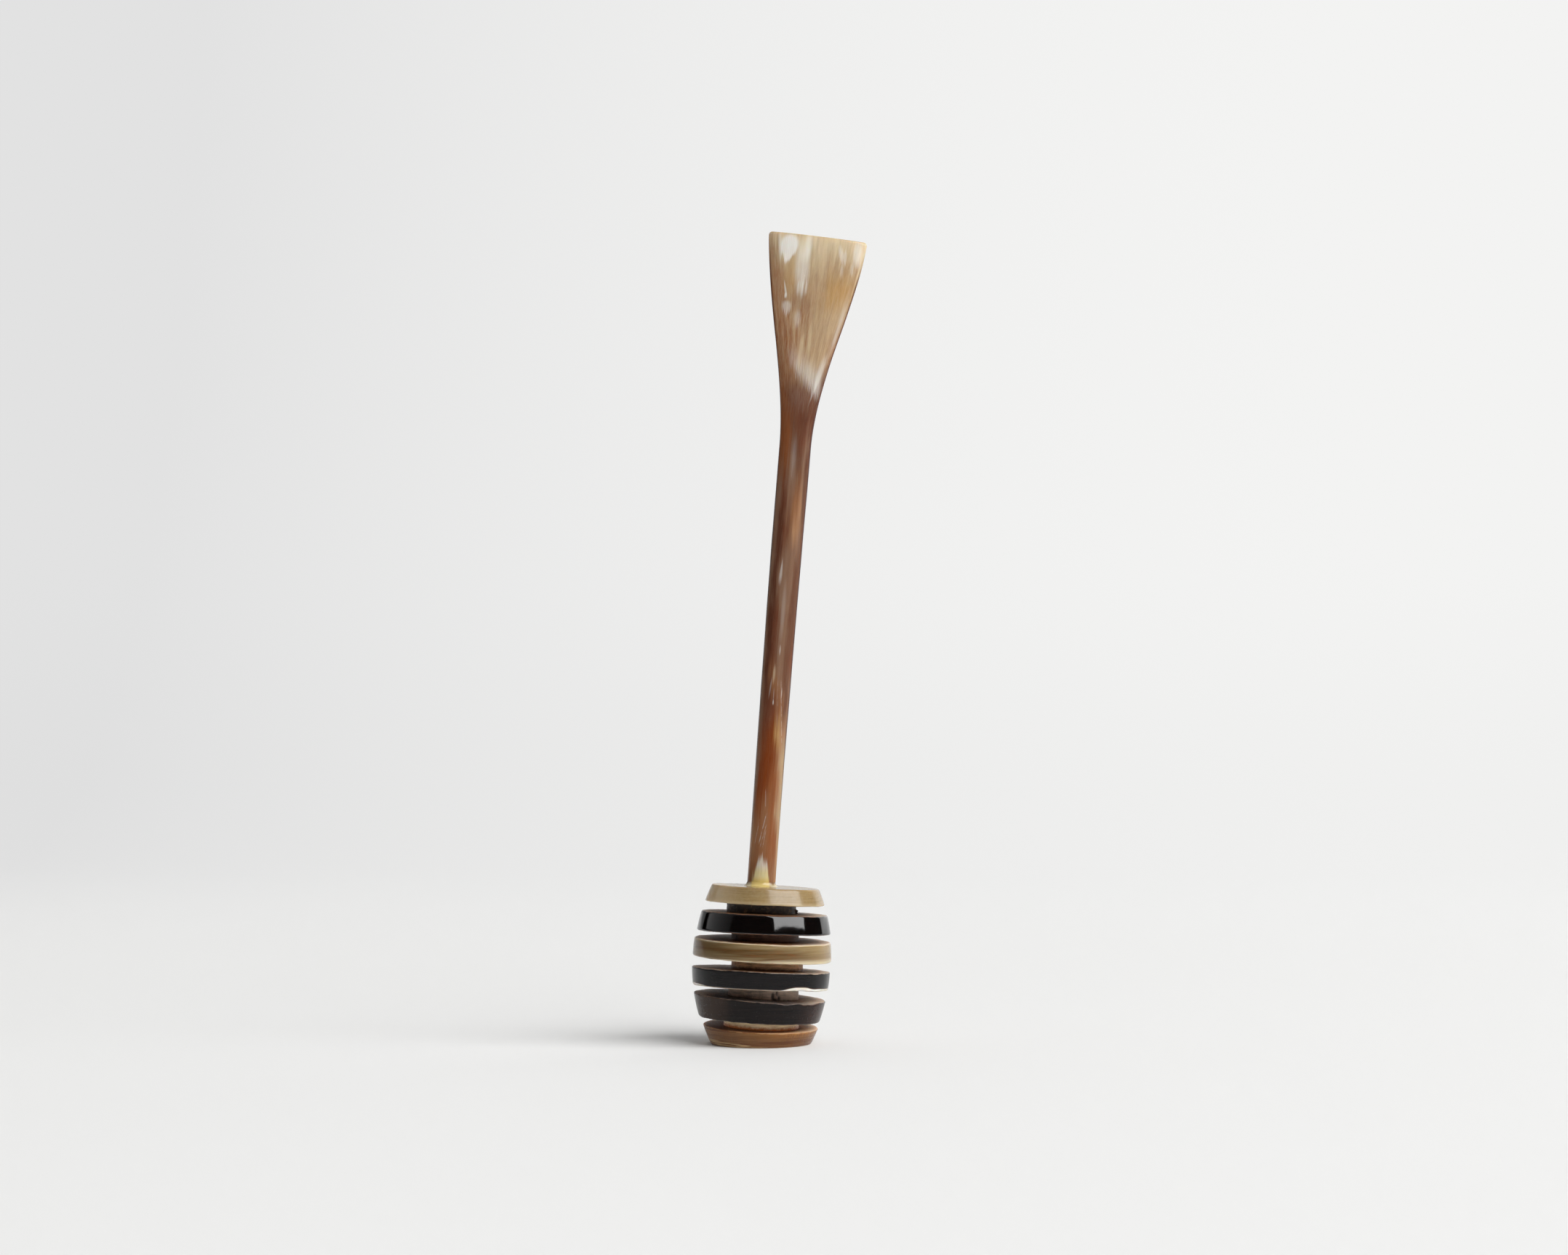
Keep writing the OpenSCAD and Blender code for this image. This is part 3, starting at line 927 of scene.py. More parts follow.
def handle_material(colours):
    material, nodes, shader = new_material("Handle_Horn", coat_weight=0.02, specular_ior_level=0.14,
                                           **HORN)
    cream, white, clay, rust, chestnut, umber, olive = tones(
        colours, "cream", "white", "clay", "rust", "chestnut", "umber", "olive")
    place, grain = nodes.attribute("place"), nodes.attribute("grain")
    across, depth, up = place.split()
    front = depth.remap(0.4, -0.4)
    fanned = grain * (3.6, 2.2, 1)
    broad = nodes.group("Horn Grain", vector=fanned, grain_size=(1, 1, 26), seed=3)
    fine = nodes.group("Horn Grain", vector=fanned, grain_size=(0.3, 0.5, 8), seed=8)
    brushed = nodes.group("Brushed Ends", vector=grain, fibre=0.09, reach=8)
    share, _, along = brushed["Vector"].split()

    # Lanes of tone with soft edges, which drift to and fro along the handle
    drift = nodes.noise(grain / (1.6, 1.6, 9), 1, 1)
    wander = (drift - 0.5) * 0.5 + ((broad["Streaks"] - 0.5) * 0.22 + share)
    colour = lanes(nodes, wander, along, colours)

    # Streaks darken it, rusty ones on the left of the flare, and fibres lighten it
    rusty = up.remap(99, 104) * up.remap(122, 110) * share.remap(0.35, -0.3)
    colour = nodes.blend(broad["Fibres"].remap(0.68, 0.25) * rusty * 0.75, colour, rust)
    deep = (1 - broad["Streaks"]) * up.remap(80, 104, 0.18, 0.2)
    colour = nodes.blend(deep, colour, nodes.blend(up.remap(94, 104), umber, clay))
    thin = (1 - fine["Streaks"]) * up.remap(80, 104, 0.12, 0.26)
    colour = nodes.blend(thin, colour, chestnut)
    colour = nodes.blend(fine["Fibres"] * up.remap(90, 106, 0.04, 0.22), colour, cream)
    fleck = nodes.noise(place / (0.12, 1, 3.2), 1, 4, 0.7)
    colour = nodes.blend(fleck.remap(0.44, 0.3) * up.remap(60, 110, 0.1, 0.16), colour, chestnut)
    colour = nodes.blend(fleck.remap(0.55, 0.72) * up.remap(92, 110, 0.05, 0.24), colour, cream)

    # A brushed whitish band across the bottom of the flare, which widens to the right
    fibre = nodes.noise(place / (0.16, 1, 8), 1, 4, 0.65)
    strand = (fibre - 0.5) * 2.2
    level = strand * drift.remap(0.35, 0.65, 1.5, 5) + up
    above = across * 1.1 + (level - 100.4)
    band = above.remap(-1.6, 1.4) * above.remap(7, 1.2) * level.remap(108, 101)
    band = band * share.remap(-0.75, -0.4) * share.remap(1, 0.7)
    band = band * fibre.remap(0.34, 0.62, 0.35, 1) * front * 0.53
    colour = nodes.blend(band, colour, white)

    # A pale line inside the flare's right edge: a painted highlight
    inside = share.remap(0.78, 0.87) * share.remap(0.95, 0.9)
    inside = inside * up.remap(104, 109) * up.remap(120, 112)
    colour = nodes.blend(inside * 0.25, colour, white)

    # Marks and hairlines, broken up along the fibres
    silk = fibre.remap(0.36, 0.58, 0.7, 1)
    silky = front * silk
    for mark in MARKS:
        mask = draw_mark(nodes, place, strand, silky if mark.reach else front, mark)
        colour = nodes.blend(mask, colour, *tones(colours, mark.tone))
    scratched = front * nodes.noise(place * (2, 1, 0.9), 1, 2).remap(0.36, 0.56, 0.15, 1)
    for hair in HAIRS:
        colour = nodes.blend(draw_hair(across, up, scratched, hair), colour, white)

    # A cream flame that rises from the foot, with the dark horn between its tongues
    tongue = nodes.noise(place / (0.27, 1, 16), 1, 3, 0.6)
    rise = (tongue - 0.5) * 6 + up
    aside = strand * 0.25 + abs(across + 0.1)
    flame = (aside - (up * -0.16 + 1.8)).remap(0.16, -0.24) * rise.remap(6.6, 4.4) * front
    flame = flame * nodes.blend(up.remap(1.5, 3.5), (1, 1, 1, 1), silk)
    glow = nodes.blend(up.remap(0.6, 2.4), srgb(222, 192, 112), srgb(220, 208, 160))
    glow = nodes.blend(up.remap(2.6, 4.6), glow, srgb(214, 208, 196))
    colour = nodes.blend(flame * 0.95, colour, glow)

    # Thin dark lines along the long edges, slate on the stem and brown on the flare: painted dark
    # reflections on the rounded edges
    sideways = grain.split()[0]
    edge = abs(sideways)
    rim = edge.remap(0.95, 0.98) * up.remap(84, 96) * up.remap(127, 118)
    colour = nodes.blend(rim * 0.85, colour, umber)
    slate = edge.remap(0.9, 0.97) * up.remap(100, 84) * up.remap(6, 24, 0, 0.6)
    colour = nodes.blend(slate, colour, srgb(60, 52, 58))
    colour = nodes.blend(up.remap(127.6, 128.05, 0, 0.35), colour, olive)

    # The bump turns the front of the stem away from the window, and dulls its right side
    polish = nodes.group("Hand Polish", vector=nodes.object_mm(), roughness=0.2, smudges=0.1,
                         scratches=0.06)
    stem = front * up.remap(108, 94)
    turned = sideways.remap(0.65, 1) * 28 + across * 8
    height = turned * stem + (fine["Streaks"] * 0.3 + polish["Height"])
    dull = sideways.remap(0.6, 0.85) * stem
    nodes.feed(shader, base_color=colour, roughness=dull * 0.35 + polish["Roughness"],
               normal=nodes.bump(height, 0.02 * MM, 0.6))
    return material


class DiscPaint:
    """What a disc's paint is mixed from: the point in mm, its place on the disc and the grain."""

    def __init__(self, nodes, seed):
        self.nodes = nodes
        self.point = nodes.object_mm()
        self.x, self.y, _ = self.point.split()
        self.up, self.down, self.face = nodes.attribute("place").split()
        self.grain = nodes.group("Horn Grain", vector=self.point, grain_size=(9, 9, 0.28),
                                 seed=seed)

    def layered(self, base, streak, amount, fine):
        """Base colour with streaks of another, broad and fine."""
        colour = self.nodes.blend(self.grain["Streaks"] * amount, base, streak)
        return self.nodes.blend(self.grain["Fibres"] * fine, colour, streak)


def paint_olive(paint, colours):
    """Pale olive, flecked with a paler tone, paler on the left with painted light and cream along
    the lower rim.
    """
    nodes = paint.nodes
    olive, dark, cream = tones(colours, "olive", "olive_dark", "cream")
    colour = paint.layered(olive, dark, 0.26, 0.3)
    fleck = nodes.noise(paint.point, 1.6, 4, 0.65).remap(0.4, 0.65, 0, 0.22)
    colour = nodes.blend(fleck, colour, srgb(168, 152, 118))
    # Painted light: paler on the left
    colour = nodes.blend(paint.x.remap(-2.5, -11, 0, 0.75), colour, srgb(214, 190, 152))
    return nodes.blend(paint.up.remap(0.9, 0.1, 0, 0.25), colour, cream)


def paint_black(paint, colours):
    return paint.layered(*tones(colours, "black"), srgb(24, 14, 10), 0.2, 0.15)


def paint_striped(paint, colours):
    """Pale along both rims, with a dark streaky belt between them."""
    nodes, x, up, grain = paint.nodes, paint.x, paint.up, paint.grain
    olive, dark, cream, rust = tones(colours, "olive", "olive_dark", "cream", "rust")
    colour = paint.layered(srgb(154, 135, 99), dark, 0.3, 0.34)
    level = x * 0.02 + (grain["Bands"] * 0.9 + up)
    belt = level.remap(1, 1.7) * level.remap(3.4, 2.3) * grain["Streaks"].remap(0, 1, 1, 0.65)
    colour = nodes.blend(belt, colour, dark)
    colour = nodes.blend(grain["Fibres"].remap(0.55, 0.9, 0, 0.5) * belt, colour, rust)
    colour = nodes.blend(x.remap(2, -13, 0, 0.55), colour, dark)
    colour = nodes.blend(x.remap(6, 14, 0, 0.6), colour, olive)
    ripple = grain["Streaks"] * 0.25
    low = (up + ripple).remap(x.remap(-2, 8, 0.5, 1.35), 0.3, 0, 0.75)
    colour = nodes.blend(low * x.remap(-13, -2, 0.1, 1), colour, srgb(212, 198, 168))
    return nodes.blend((paint.down + ripple).remap(0.5, 0.2, 0, 0.5), colour, cream)


def paint_charcoal(paint, colours):
    """Charcoal over a thin white layer, which shows along the lower edge, more on the right."""
    nodes, x, up = paint.nodes, paint.x, paint.up
    charcoal, bark, white, tan, clay = tones(colours, "charcoal", "bark", "white", "tan", "clay")
    colour = paint.layered(charcoal, srgb(32, 26, 26), 0.25, 0.2)
    ripple = nodes.noise(paint.point * (0.25, 0.25, 0.1), 1, 2, 0.5)
    swell = x.remap(3.6, 7.2) * x.remap(10.6, 8)
    ends = nodes.most(x.remap(-10, -12.5, 0, 0.35), x.remap(8, 9.6, 0, 0.3))
    edge = ends + (ripple * 0.16 + (swell * 0.62 + 0.04))
    gap = up - edge
    rim = gap.remap(0.3, 0, 0, 0.75) * edge.remap(0.2, 0.45)
    colour = nodes.blend(rim, colour, bark)
    layer = nodes.blend(paint.grain["Fibres"].remap(0.3, 0.7, 0, 0.5), white, tan)
    under = up.remap(0.22, 0.05, 0, 0.7) * x.remap(10.5, 8.5)
    layer = nodes.blend(under, layer, clay)
    return nodes.blend(gap.remap(0.12, -0.06), colour, layer)


def paint_smoky(paint, colours):
    """Charcoal, clouded with grey brown on the left and umber on the right."""
    nodes = paint.nodes
    charcoal, umber = tones(colours, "charcoal", "umber")
    colour = paint.layered(charcoal, srgb(44, 34, 30), 0.3, 0.2)
    reach = nodes.noise(paint.point, 0.12, 3, 0.5) * 8 + paint.x
    colour = nodes.blend(reach.remap(0, -5, 0, 0.5), colour, srgb(74, 54, 42))
    return nodes.blend(reach.remap(11, 18, 0, 0.3), colour, umber)


def paint_brown(paint, colours):
    """Brown with slanting stripes, pale streaks low on the left and upright ticks on the right."""
    nodes, x, up, grain = paint.nodes, paint.x, paint.up, paint.grain
    brown, umber, bark = tones(colours, "brown", "umber", "bark")
    colour = paint.layered(brown, srgb(150, 112, 72), 0.55, 0.3)
    dark = grain["Bands"].remap(0.35, 0.8) * 0.6 * x.remap(8, -6, 0.4, 1)
    colour = nodes.blend(dark, colour, umber)
    golden = up.remap(1.3, 2.6) * x.remap(-6, 5, 0.1, 0.65)
    colour = nodes.blend(golden, colour, srgb(146, 100, 52))
    shaded = up.remap(2.4, 1) * x.remap(-4, 3, 0, 0.3)
    colour = nodes.blend(shaded, colour, umber)
    tick = nodes.noise(paint.point * (3.2, 3.2, 0.5), 1, 2, 0.5)
    colour = nodes.blend(tick.remap(0.46, 0.6) * x.remap(2, 7) * 0.5, colour, bark)
    slant = grain["Streaks"] * 0.35 + (x * 0.1 + up)
    for bottom, top, weight in ((0.05, 0.35, 0.75), (-0.45, -0.15, 0.7)):
        line = slant.remap(bottom, bottom + 0.15) * slant.remap(top + 0.2, top)
        colour = nodes.blend(line * x.remap(4, -3, 0, weight), colour, srgb(200, 168, 124))
    return colour


def face_plain(paint, colours, sawn):
    return sawn


def face_smoky(paint, colours, sawn):
    """Slate at the front, blotched with black on the left."""
    nodes = paint.nodes
    colour = nodes.blend(paint.y.remap(-3, -7, 0, 0.85), sawn, srgb(80, 76, 76))
    blotch = nodes.noise(paint.point, 0.9, 4, 0.65).remap(0.42, 0.6)
    return nodes.blend(blotch * paint.x.remap(1, -6, 0, 0.9), colour, *tones(colours, "black"))


def face_ringed(paint, colours, sawn):
    """A dark orange ring round the foot of the spacer above."""
    nodes = paint.nodes
    ragged = nodes.noise(paint.point, 1.2, 3) * 0.8 + -0.4
    out = nodes.math("LENGTH", nodes.join(paint.x + 1.5, paint.y + 1.5, 0.0))
    dark_zone = (out - 7.4 + ragged).remap(3, 1.6, 0, 0.92)
    return nodes.blend(dark_zone, sawn, srgb(106, 42, 8))


def disc_material(name, colours, paint_side, seed, rough, cut, dirt=0.4, shine=0.5, relief=0.02,
                  rim_highlight=None, paint_face=face_plain):
    """Polished horn on a disc's side and sawn horn on its faces, by the mesh's place values.

    Where the saw has left no mark, cut is None and the faces are polished too.
    """
    material, nodes, shader = new_material(name, specular_ior_level=shine, **HORN)
    paint = DiscPaint(nodes, seed)
    x, on_face = paint.x, paint.face
    colour = paint_side(paint, colours)
    polish = nodes.group("Hand Polish", vector=paint.point, roughness=rough, smudges=0.06,
                         scratches=2 * relief)
    rough, height = polish["Roughness"], polish["Height"]
    coat = 0.35 * shine
    if cut:
        bare = on_face.remap(0.5, 0.95)
        sawn = nodes.group("Sawn Face", vector=paint.point, color=cut, dirt_color=srgb(34, 26, 22),
                           dirt=dirt)
        # Painted reflection: the sawn faces turn pale towards their left and right ends
        ends = nodes.most(x.remap(5, 12, 0, 0.6), x.remap(-7, -12.5, 0, 0.4))
        face = nodes.blend(ends, paint_face(paint, colours, sawn["Color"]), srgb(214, 196, 176))
        colour = nodes.blend(bare, colour, face)
        rough = (sawn["Roughness"] - rough) * bare + rough
        height = sawn["Height"] * bare * 3 + height
        coat = on_face.remap(0.4, 0.9, coat, 0)
    # Painted highlight: a pale, broken line along the rounded rims
    if rim_highlight:
        rounded_edge = on_face.remap(0.25, 0.5) * on_face.remap(1, 0.8)
        broken = nodes.noise(paint.point, 0.7, 3).remap(0.38, 0.62, 0.1, 0.8)
        colour = nodes.blend(rounded_edge * broken, colour, rim_highlight)
    nodes.feed(shader, base_color=colour, roughness=rough, coat_weight=coat,
               normal=nodes.bump(height, relief * MM, 0.6))
    return material


def spacer_material(name, base, dirt_color, dirt, seed, specks=0.0, foot=None, smoother=0.0,
                    painted_glow=0.0):
    """Sawn horn, which may have tan specks, a darker foot and a painted glow in its own colour."""
    material, nodes, shader = new_material(name, ior=1.5, subsurface_weight=0.1,
                                           subsurface_radius=(1.0, 0.5, 0.2),
                                           subsurface_scale=1.0 * MM, emission_strength=painted_glow)
    point = nodes.object_mm() + (seed, seed, seed)
    sawn = nodes.group("Sawn Face", vector=point, mark_size=(3, 3, 0.25), color=base,
                       dirt_color=dirt_color, dirt=dirt)
    up, _, torn = nodes.attribute("place").split()
    # Painted shade: darker where a nick is torn deep into the spacer
    colour = nodes.blend(torn.remap(0.02, 0.35, 0, 0.7), sawn["Color"], dirt_color)
    if specks:
        speck = nodes.noise(point, 0.9, 6, 0.75).remap(0.5, 0.66, 0, specks)
        colour = nodes.blend(speck, colour, srgb(150, 118, 80))
    # A darker, ragged foot: painted shade at the bottom of the brown spacer, and an orange brown
    # towards the bottom of the honey spacer
    if foot:
        ragged = nodes.noise(point, 1.3, 3) * 0.7 + up
        colour = nodes.blend(ragged.remap(1.25, 0.45), colour, foot)
    # Painted light: the spacer glows in its own colour, standing for light let into the horn
    if painted_glow:
        nodes.feed(shader, emission_color=colour)
    nodes.feed(shader, base_color=colour, roughness=sawn["Roughness"] - smoother,
               normal=nodes.bump(sawn["Height"], 0.08 * MM, 0.8))
    return material


def glue_material():
    """Clear glue, which shows the cream flame in front and the olive disc elsewhere."""
    material, nodes, shader = new_material("Clear_Glue", ior=1.5, transmission_weight=0.15)
    point = nodes.object_mm()
    across, depth, up = nodes.attribute("place").split()
    polish = nodes.group("Hand Polish", vector=point, roughness=0.08, smudges=0.06, scratches=0.02)
    cloud = nodes.noise(point, 0.8, 2).remap(0.35, 0.65)
    colour = nodes.blend(cloud, srgb(186, 166, 128), srgb(212, 196, 158))
    colour = nodes.blend(up.remap(0.25, 0.9, 0, 0.9), colour, srgb(136, 98, 70))
    flame = across.remap(-2.2, -1.7) * across.remap(1.95, 1.35) * depth.remap(0.4, -0.4)
    colour = nodes.blend(flame * 0.85, colour, srgb(226, 200, 122))
    nodes.feed(shader, base_color=colour, roughness=polish["Roughness"],
               normal=nodes.bump(polish["Height"], 0.02 * MM, 0.5))
    return material


def brass_material():
    material, nodes, shader = new_material("Drawn_Brass", metallic=1.0)
    drawn = nodes.group("Horn Grain", vector=nodes.object_mm(), grain_size=(0.15, 0.15, 12), seed=1)
    nodes.feed(shader,
               base_color=nodes.blend(drawn["Streaks"], srgb(200, 168, 96), srgb(224, 196, 128)),
               roughness=drawn["Fibres"].remap(0, 1, 0.25, 0.45))
    return material


# Operators


class DIPPER_OT_handle(bpy.types.Operator):
    """Carve the handle"""

    bl_idname = "dipper.handle"
    bl_label = "Handle"

    def execute(self, context):
        form = HandleForm(context.scene.dipper_handle, Barrel(context.scene.dipper_head))
        rings, places, grains = handle_rings(form)
        piece = ring_mesh("horn_handle", rings, {"place": places, "grain": grains})
        settle(piece, "handle", "horn_handle", handle_material(context.scene.dipper_colours))
        return {"FINISHED"}


class DIPPER_OT_glue(bpy.types.Operator):
    """Lay the glue round the handle's foot"""

    bl_idname = "dipper.glue"
    bl_label = "Glue"

    def execute(self, context):
        form = HandleForm(context.scene.dipper_handle, Barrel(context.scene.dipper_head))
        rings, places = glue_rings(form)
        piece = ring_mesh("foot_glue", rings, {"place": places}, closed=True)
        settle(piece, "glue_bead", "glue", glue_material())
        return {"FINISHED"}


class DIPPER_OT_discs(bpy.types.Operator):
    """Turn the six discs"""

    bl_idname = "dipper.discs"
    bl_label = "Discs"

    def execute(self, context):
        barrel = Barrel(context.scene.dipper_head)
        colours = context.scene.dipper_colours
        cut = tuple(colours.cut)
        # The rim colour of each disc is a painted highlight along its rounded rims
        looks = (
            ("horn_olive", "Olive_Horn", paint_olive, 0.2, None, dict(shine=0.4)),
            ("horn_black", "Black_Horn", paint_black, 0.06, cut,
             dict(relief=0.008, rim_highlight=srgb(122, 84, 60))),
            ("horn_olive", "Striped_Horn", paint_striped, 0.2, cut,
             dict(shine=0.3, rim_highlight=srgb(206, 190, 164))),
            ("horn_charcoal", "Charcoal_Horn", paint_charcoal, 0.24, cut,
             dict(shine=0.16, rim_highlight=srgb(160, 144, 130))),
            ("horn_charcoal", "Smoky_Horn", paint_smoky, 0.26, cut,
             dict(dirt=0.5, shine=0.15, rim_highlight=srgb(118, 102, 92), paint_face=face_smoky)),
            ("horn_brown", "Brown_Horn", paint_brown, 0.26, srgb(206, 160, 116),
             dict(dirt=0.1, shine=0.17, rim_highlight=srgb(184, 148, 108), paint_face=face_ringed)),
        )
        # Waves of a rim are given by their place and width round it, in degrees, and their height
        style = {"rough": 0.05 * MM, "polish": 0.05 * MM}
        styles = {
            1: {"polish": 0.03 * MM},
            3: {"low_waves": ((306, 8, 0.12 * MM),), "high_waves": ((322, 8, -0.1 * MM),)},
            4: {"rough": 0.08 * MM,
                "high_waves": ((294, 5, -0.16 * MM), (305, 4, 0.1 * MM), (312, 3, -0.08 * MM),
                               (322, 6, -0.14 * MM), (336, 5, 0.08 * MM))},
        }
        for i, (slot, name, paint_side, rough, bare, more) in enumerate(looks):
            rings, places = disc_rings(barrel, i, {**style, **styles.get(i, {})})
            piece = ring_mesh(f"horn_disc_{i + 1}", rings, {"place": places})
            material = disc_material(name, colours, paint_side, i + 1, rough, bare, **more)
            settle(piece, f"disc_{i + 1}", slot, material)
        return {"FINISHED"}


class DIPPER_OT_spacers(bpy.types.Operator):
    """Cut the five spacers and dress the rod that runs inside them"""

    bl_idname = "dipper.spacers"
    bl_label = "Spacers"

    def execute(self, context):
        barrel = Barrel(context.scene.dipper_head)
        # A dark tone for the sawn dirt of the first four spacers, and the painted shade in the grey
        # spacer's nicks
        soot_and_nick_shade = srgb(20, 16, 14)
        # The brown and honey spacers glow a little with painted light
        looks = (
            ("spacer_dark", "Dark_Spacer", srgb(66, 52, 42), soot_and_nick_shade, 0.9, dict(specks=0.7)),
            ("spacer_dark", "Dark_Brown_Spacer", srgb(120, 80, 56), soot_and_nick_shade, 0.6, {}),
            # The brown spacer's darker foot is painted shade
            ("spacer_brown", "Brown_Spacer", srgb(232, 178, 128), soot_and_nick_shade, 0.4,
             dict(foot=srgb(96, 60, 38), painted_glow=0.03)),
            ("spacer_brown", "Grey_Spacer", srgb(212, 186, 166), soot_and_nick_shade, 0.4, {}),
            ("spacer_honey", "Honey_Spacer", srgb(240, 210, 164), srgb(190, 126, 70), 0.3,
             dict(foot=srgb(172, 92, 34), smoother=0.2, painted_glow=0.14)),
        )
        # Nicks are given by their place and width round the spacer, in degrees, their place and
        # height up it, as shares of its height, and their depth
        styles = {
            0: {"rough": 0.07 * MM, "nicks": ((353, 1.6, 0.14, 0.12, -0.4 * MM),
                                              (351, 1.3, 0.36, 0.12, -0.75 * MM))},
            3: {"nicks": ((286, 2.6, 0.35, 0.3, 0.55 * MM), (293, 2.0, 0.6, 0.2, 0.4 * MM),
                          (297, 2.2, 0.2, 0.2, 0.45 * MM), (290, 4.5, 0.03, 0.1, 0.5 * MM),
                          (312, 12, 0.0, 0.1, 0.3 * MM))},
            4: {"rough": 0.015 * MM, "foot": 0.12 * MM},
        }
        for i, (slot, name, base, dirt_color, dirt, more) in enumerate(looks):
            rings, places = spacer_rings(barrel, i, {"rough": 0.04 * MM, **styles.get(i, {})})
            piece = ring_mesh(f"horn_spacer_{i + 1}", rings, {"place": places})
            material = spacer_material(name, base, dirt_color, dirt, 10 * i, **more)
            settle(piece, f"spacer_{i + 1}", slot, material)
        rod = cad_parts["centre_rod"]
        rod.data.materials.clear()
        rod.data.materials.append(brass_material())
        return {"FINISHED"}


class DIPPER_OT_stage(bpy.types.Operator):
    """Lay the table, light it and set the camera"""

    bl_idname = "dipper.stage"
    bl_label = "Stage"

    def execute(self, context):
        stage = context.scene.dipper_stage
        self.sweep(context, stage)
        self.window(context, stage)
        self.room(context, stage)
        self.camera(context, stage)
        context.scene.view_settings.view_transform = "Standard"
        return {"FINISHED"}

    def sweep(self, context, stage):
        """A pale table that curves up into a backdrop."""
        half, near, bend_at, bend_r, top, steps = 1.6, -1.3, 0.6, 0.5, 1.6, 24
        profile = [(near, 0.0), (bend_at, 0.0)]
        for k in range(1, steps + 1):
            turn = math.pi / 2 * k / steps
            profile.append((bend_at + bend_r * math.sin(turn), bend_r * (1 - math.cos(turn))))
        profile.append((bend_at + bend_r, top))
        mesh = bpy.data.meshes.new("sweep")
        verts = [(x, y, z) for y, z in profile for x in (-half, half)]
        faces = [(2 * k, 2 * k + 1, 2 * k + 3, 2 * k + 2) for k in range(len(profile) - 1)]
        mesh.from_pydata(verts, [], faces)
        mesh.polygons.foreach_set("use_smooth", [True] * len(mesh.polygons))
        mesh.materials.append(self.sweep_material(stage))
        thing = bpy.data.objects.new("sweep", mesh)
        context.scene.collection.objects.link(thing)

    def sweep_material(self, stage):
        """A matt floor whose far part glows for the camera and in what mirrors it, in a painted
        light that is brighter to the right.
        """
        material, nodes, shader = new_material("Pale_Sweep", roughness=0.9, base_color=stage.floor,
                                               specular_ior_level=0.1)
        x, y, z = nodes.coordinates("Object").split()
        # Painted light: the glow is brighter to the right, and a faint painted shade darkens the
        # far floor before the bend
        side = nodes.math("POWER", x.remap(-0.26, 0.29, 1, 0, smooth=False), 2.0)
        shade = nodes.blend(side, srgb(243, 243, 242), srgb(226, 226, 226))
        far = y.remap(0.25, 0.6) * z.remap(0.12, 0, 0, 0.03)
        shade = nodes.blend(far, shade, (0, 0, 0, 1))
        rays = nodes.wires(nodes.add("LightPath"))
        seen = nodes.most(rays["Is Camera Ray"], rays["Is Glossy Ray"], rays["Is Transmission Ray"])

        # Mirrored in the discs, the backdrop is narrower, dim on the left and bright on the right
        spread = abs(x) * x.remap(-0.1, 0.1, 0.97, 0.65)
        gain = (y - spread).remap(-0.06, 0.06) * x.remap(-0.6, 0.6, 0.35, 1.4)
        mirrored = rays["Is Glossy Ray"] * z.remap(0.04, 0.14)
        glow = nodes.add("Emission", {"Color": shade, "Strength": (gain - 1) * mirrored + 1})
        both = nodes.mix_shaders(seen * y.remap(0.15, 0.75), shader, glow)
        nodes.put(material.node_tree.nodes["Material Output"].inputs[0], both)
        return material

    def window(self, context, stage):
        """One large soft light, high on the right and a little in front, aimed at the dipper."""
        turn, rise, roll = math.radians(51.4), math.radians(38.5), math.radians(-6)
        wide, tall, away, target = 5.07, 3.6, 4.5, Vector((0, 0, 0.03))
        light = bpy.data.lights.new("window", "AREA")
        light.shape = "RECTANGLE"
        light.size, light.size_y = wide, tall
        light.energy = stage.window_power
        lamp = bpy.data.objects.new("window", light)
        context.scene.collection.objects.link(lamp)
        toward = Vector((math.sin(turn) * math.cos(rise), -math.cos(turn) * math.cos(rise),
                         math.sin(rise)))
        lamp.location = toward * away + target
        lamp.rotation_mode = "QUATERNION"
        lamp.rotation_quaternion = toward.to_track_quat("Z", "Y") @ Quaternion((0, 0, 1), roll)

    def room(self, context, stage):
        """A pale background to look at, and a dim room with one pale wall to be lit by."""
        world = bpy.data.worlds.new("Room")
        context.scene.world = world
        world.use_nodes = True
        world.node_tree.nodes.clear()
        nodes = Nodes(world.node_tree)
        x, y, z = nodes.coordinates("Generated").split()
        wall = y.remap(-0.5, -0.4) * y.remap(0.55, 0.47) * x.remap(-0.4, -0.5)
        wall = wall * z.remap(0.1, 0.16) * z.remap(0.8, 0.7)
        wall = wall * y.remap(-0.375, 0.445, 0.16, 0.55, smooth=False)
        ceiling = z.remap(0.5, 0.9, 0.03, stage.room)
        lit = nodes.most(ceiling, wall)
        dim = nodes.add("Background", {"Color": (1, 1, 1, 1), "Strength": lit})
        seen = nodes.add("Background", {"Color": srgb(238, 238, 238), "Strength": 1.0})
        rays = nodes.wires(nodes.add("LightPath"))
        nodes.add("OutputWorld", {0: nodes.mix_shaders(rays["Is Camera Ray"], dim, seen)})

    def camera(self, context, stage):
        lens = bpy.data.cameras.new("camera")
        lens.lens = stage.lens
        lens.sensor_width = 36
        lens.clip_start, lens.clip_end = 0.01, 20
        thing = bpy.data.objects.new("camera", lens)
        context.scene.collection.objects.link(thing)
        thing.location = (stage.camera_side, -stage.camera_distance, stage.camera_height)
        thing.rotation_euler = (math.pi / 2, 0, 0)
        context.scene.camera = thing


class DIPPER_PT_panel(bpy.types.Panel):
    """Lists the dipper's steps and its main sizes"""

    bl_idname = "DIPPER_PT_panel"
    bl_label = "Honey Dipper"
    bl_space_type = "VIEW_3D"
    bl_region_type = "UI"
    bl_category = "Honey Dipper"

    def draw(self, context):
        layout = self.layout
        for step in STEPS:
            layout.operator(step.bl_idname)
        for label in SETTINGS:
            group = getattr(context.scene, label)
            box = layout.box()
            for name in group.__annotations__:
                box.prop(group, name)


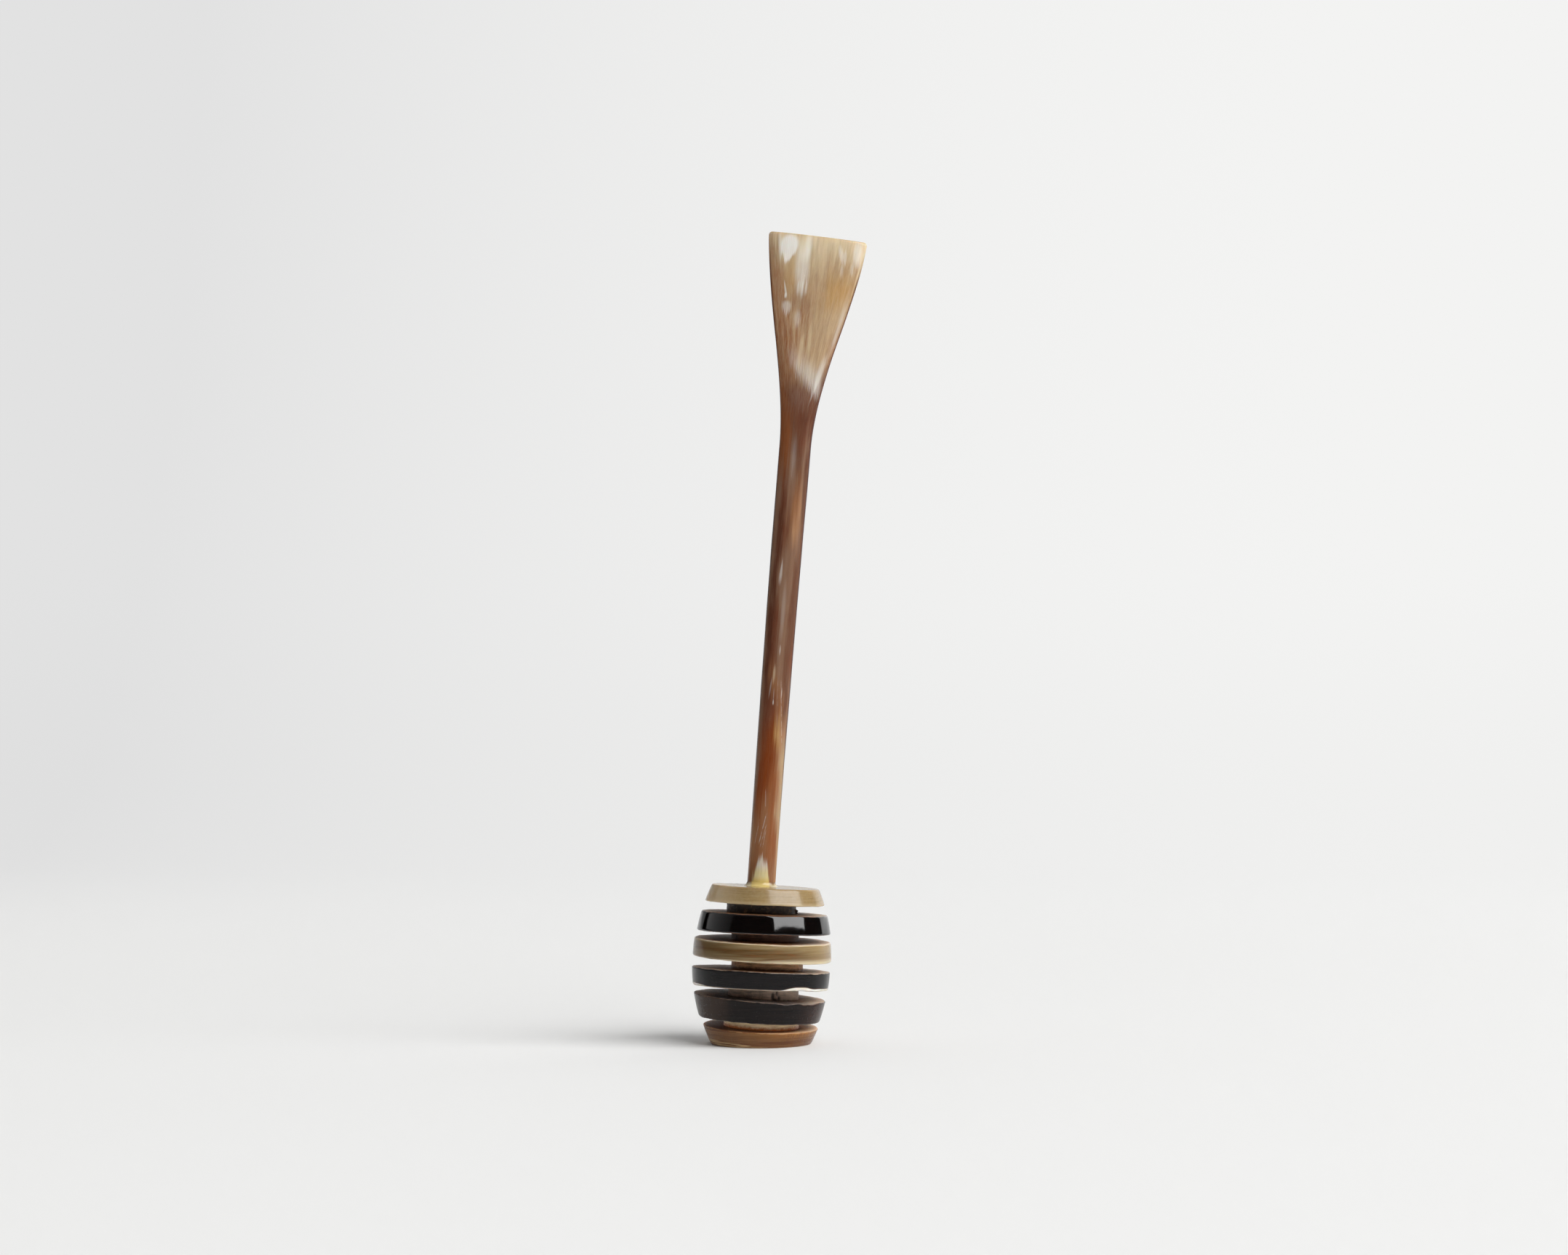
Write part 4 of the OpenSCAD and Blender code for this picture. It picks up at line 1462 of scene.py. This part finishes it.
SETTINGS = {
    "dipper_head": DipperHead,
    "dipper_handle": DipperHandle,
    "dipper_colours": DipperColours,
    "dipper_stage": DipperStage,
}
STEPS = (DIPPER_OT_stage, DIPPER_OT_handle, DIPPER_OT_glue, DIPPER_OT_discs, DIPPER_OT_spacers)
CLASSES = (*SETTINGS.values(), *STEPS, DIPPER_PT_panel)


def register():
    for cls in CLASSES:
        bpy.utils.register_class(cls)
    for name, group in SETTINGS.items():
        setattr(bpy.types.Scene, name, bpy.props.PointerProperty(type=group))


def unregister():
    for name in SETTINGS:
        delattr(bpy.types.Scene, name)
    for cls in reversed(CLASSES):
        bpy.utils.unregister_class(cls)


def main():
    register()
    build_groups()
    bpy.ops.dipper.stage()
    bpy.ops.dipper.handle()
    bpy.ops.dipper.glue()
    bpy.ops.dipper.discs()
    bpy.ops.dipper.spacers()


if __name__ == "__main__":
    main()
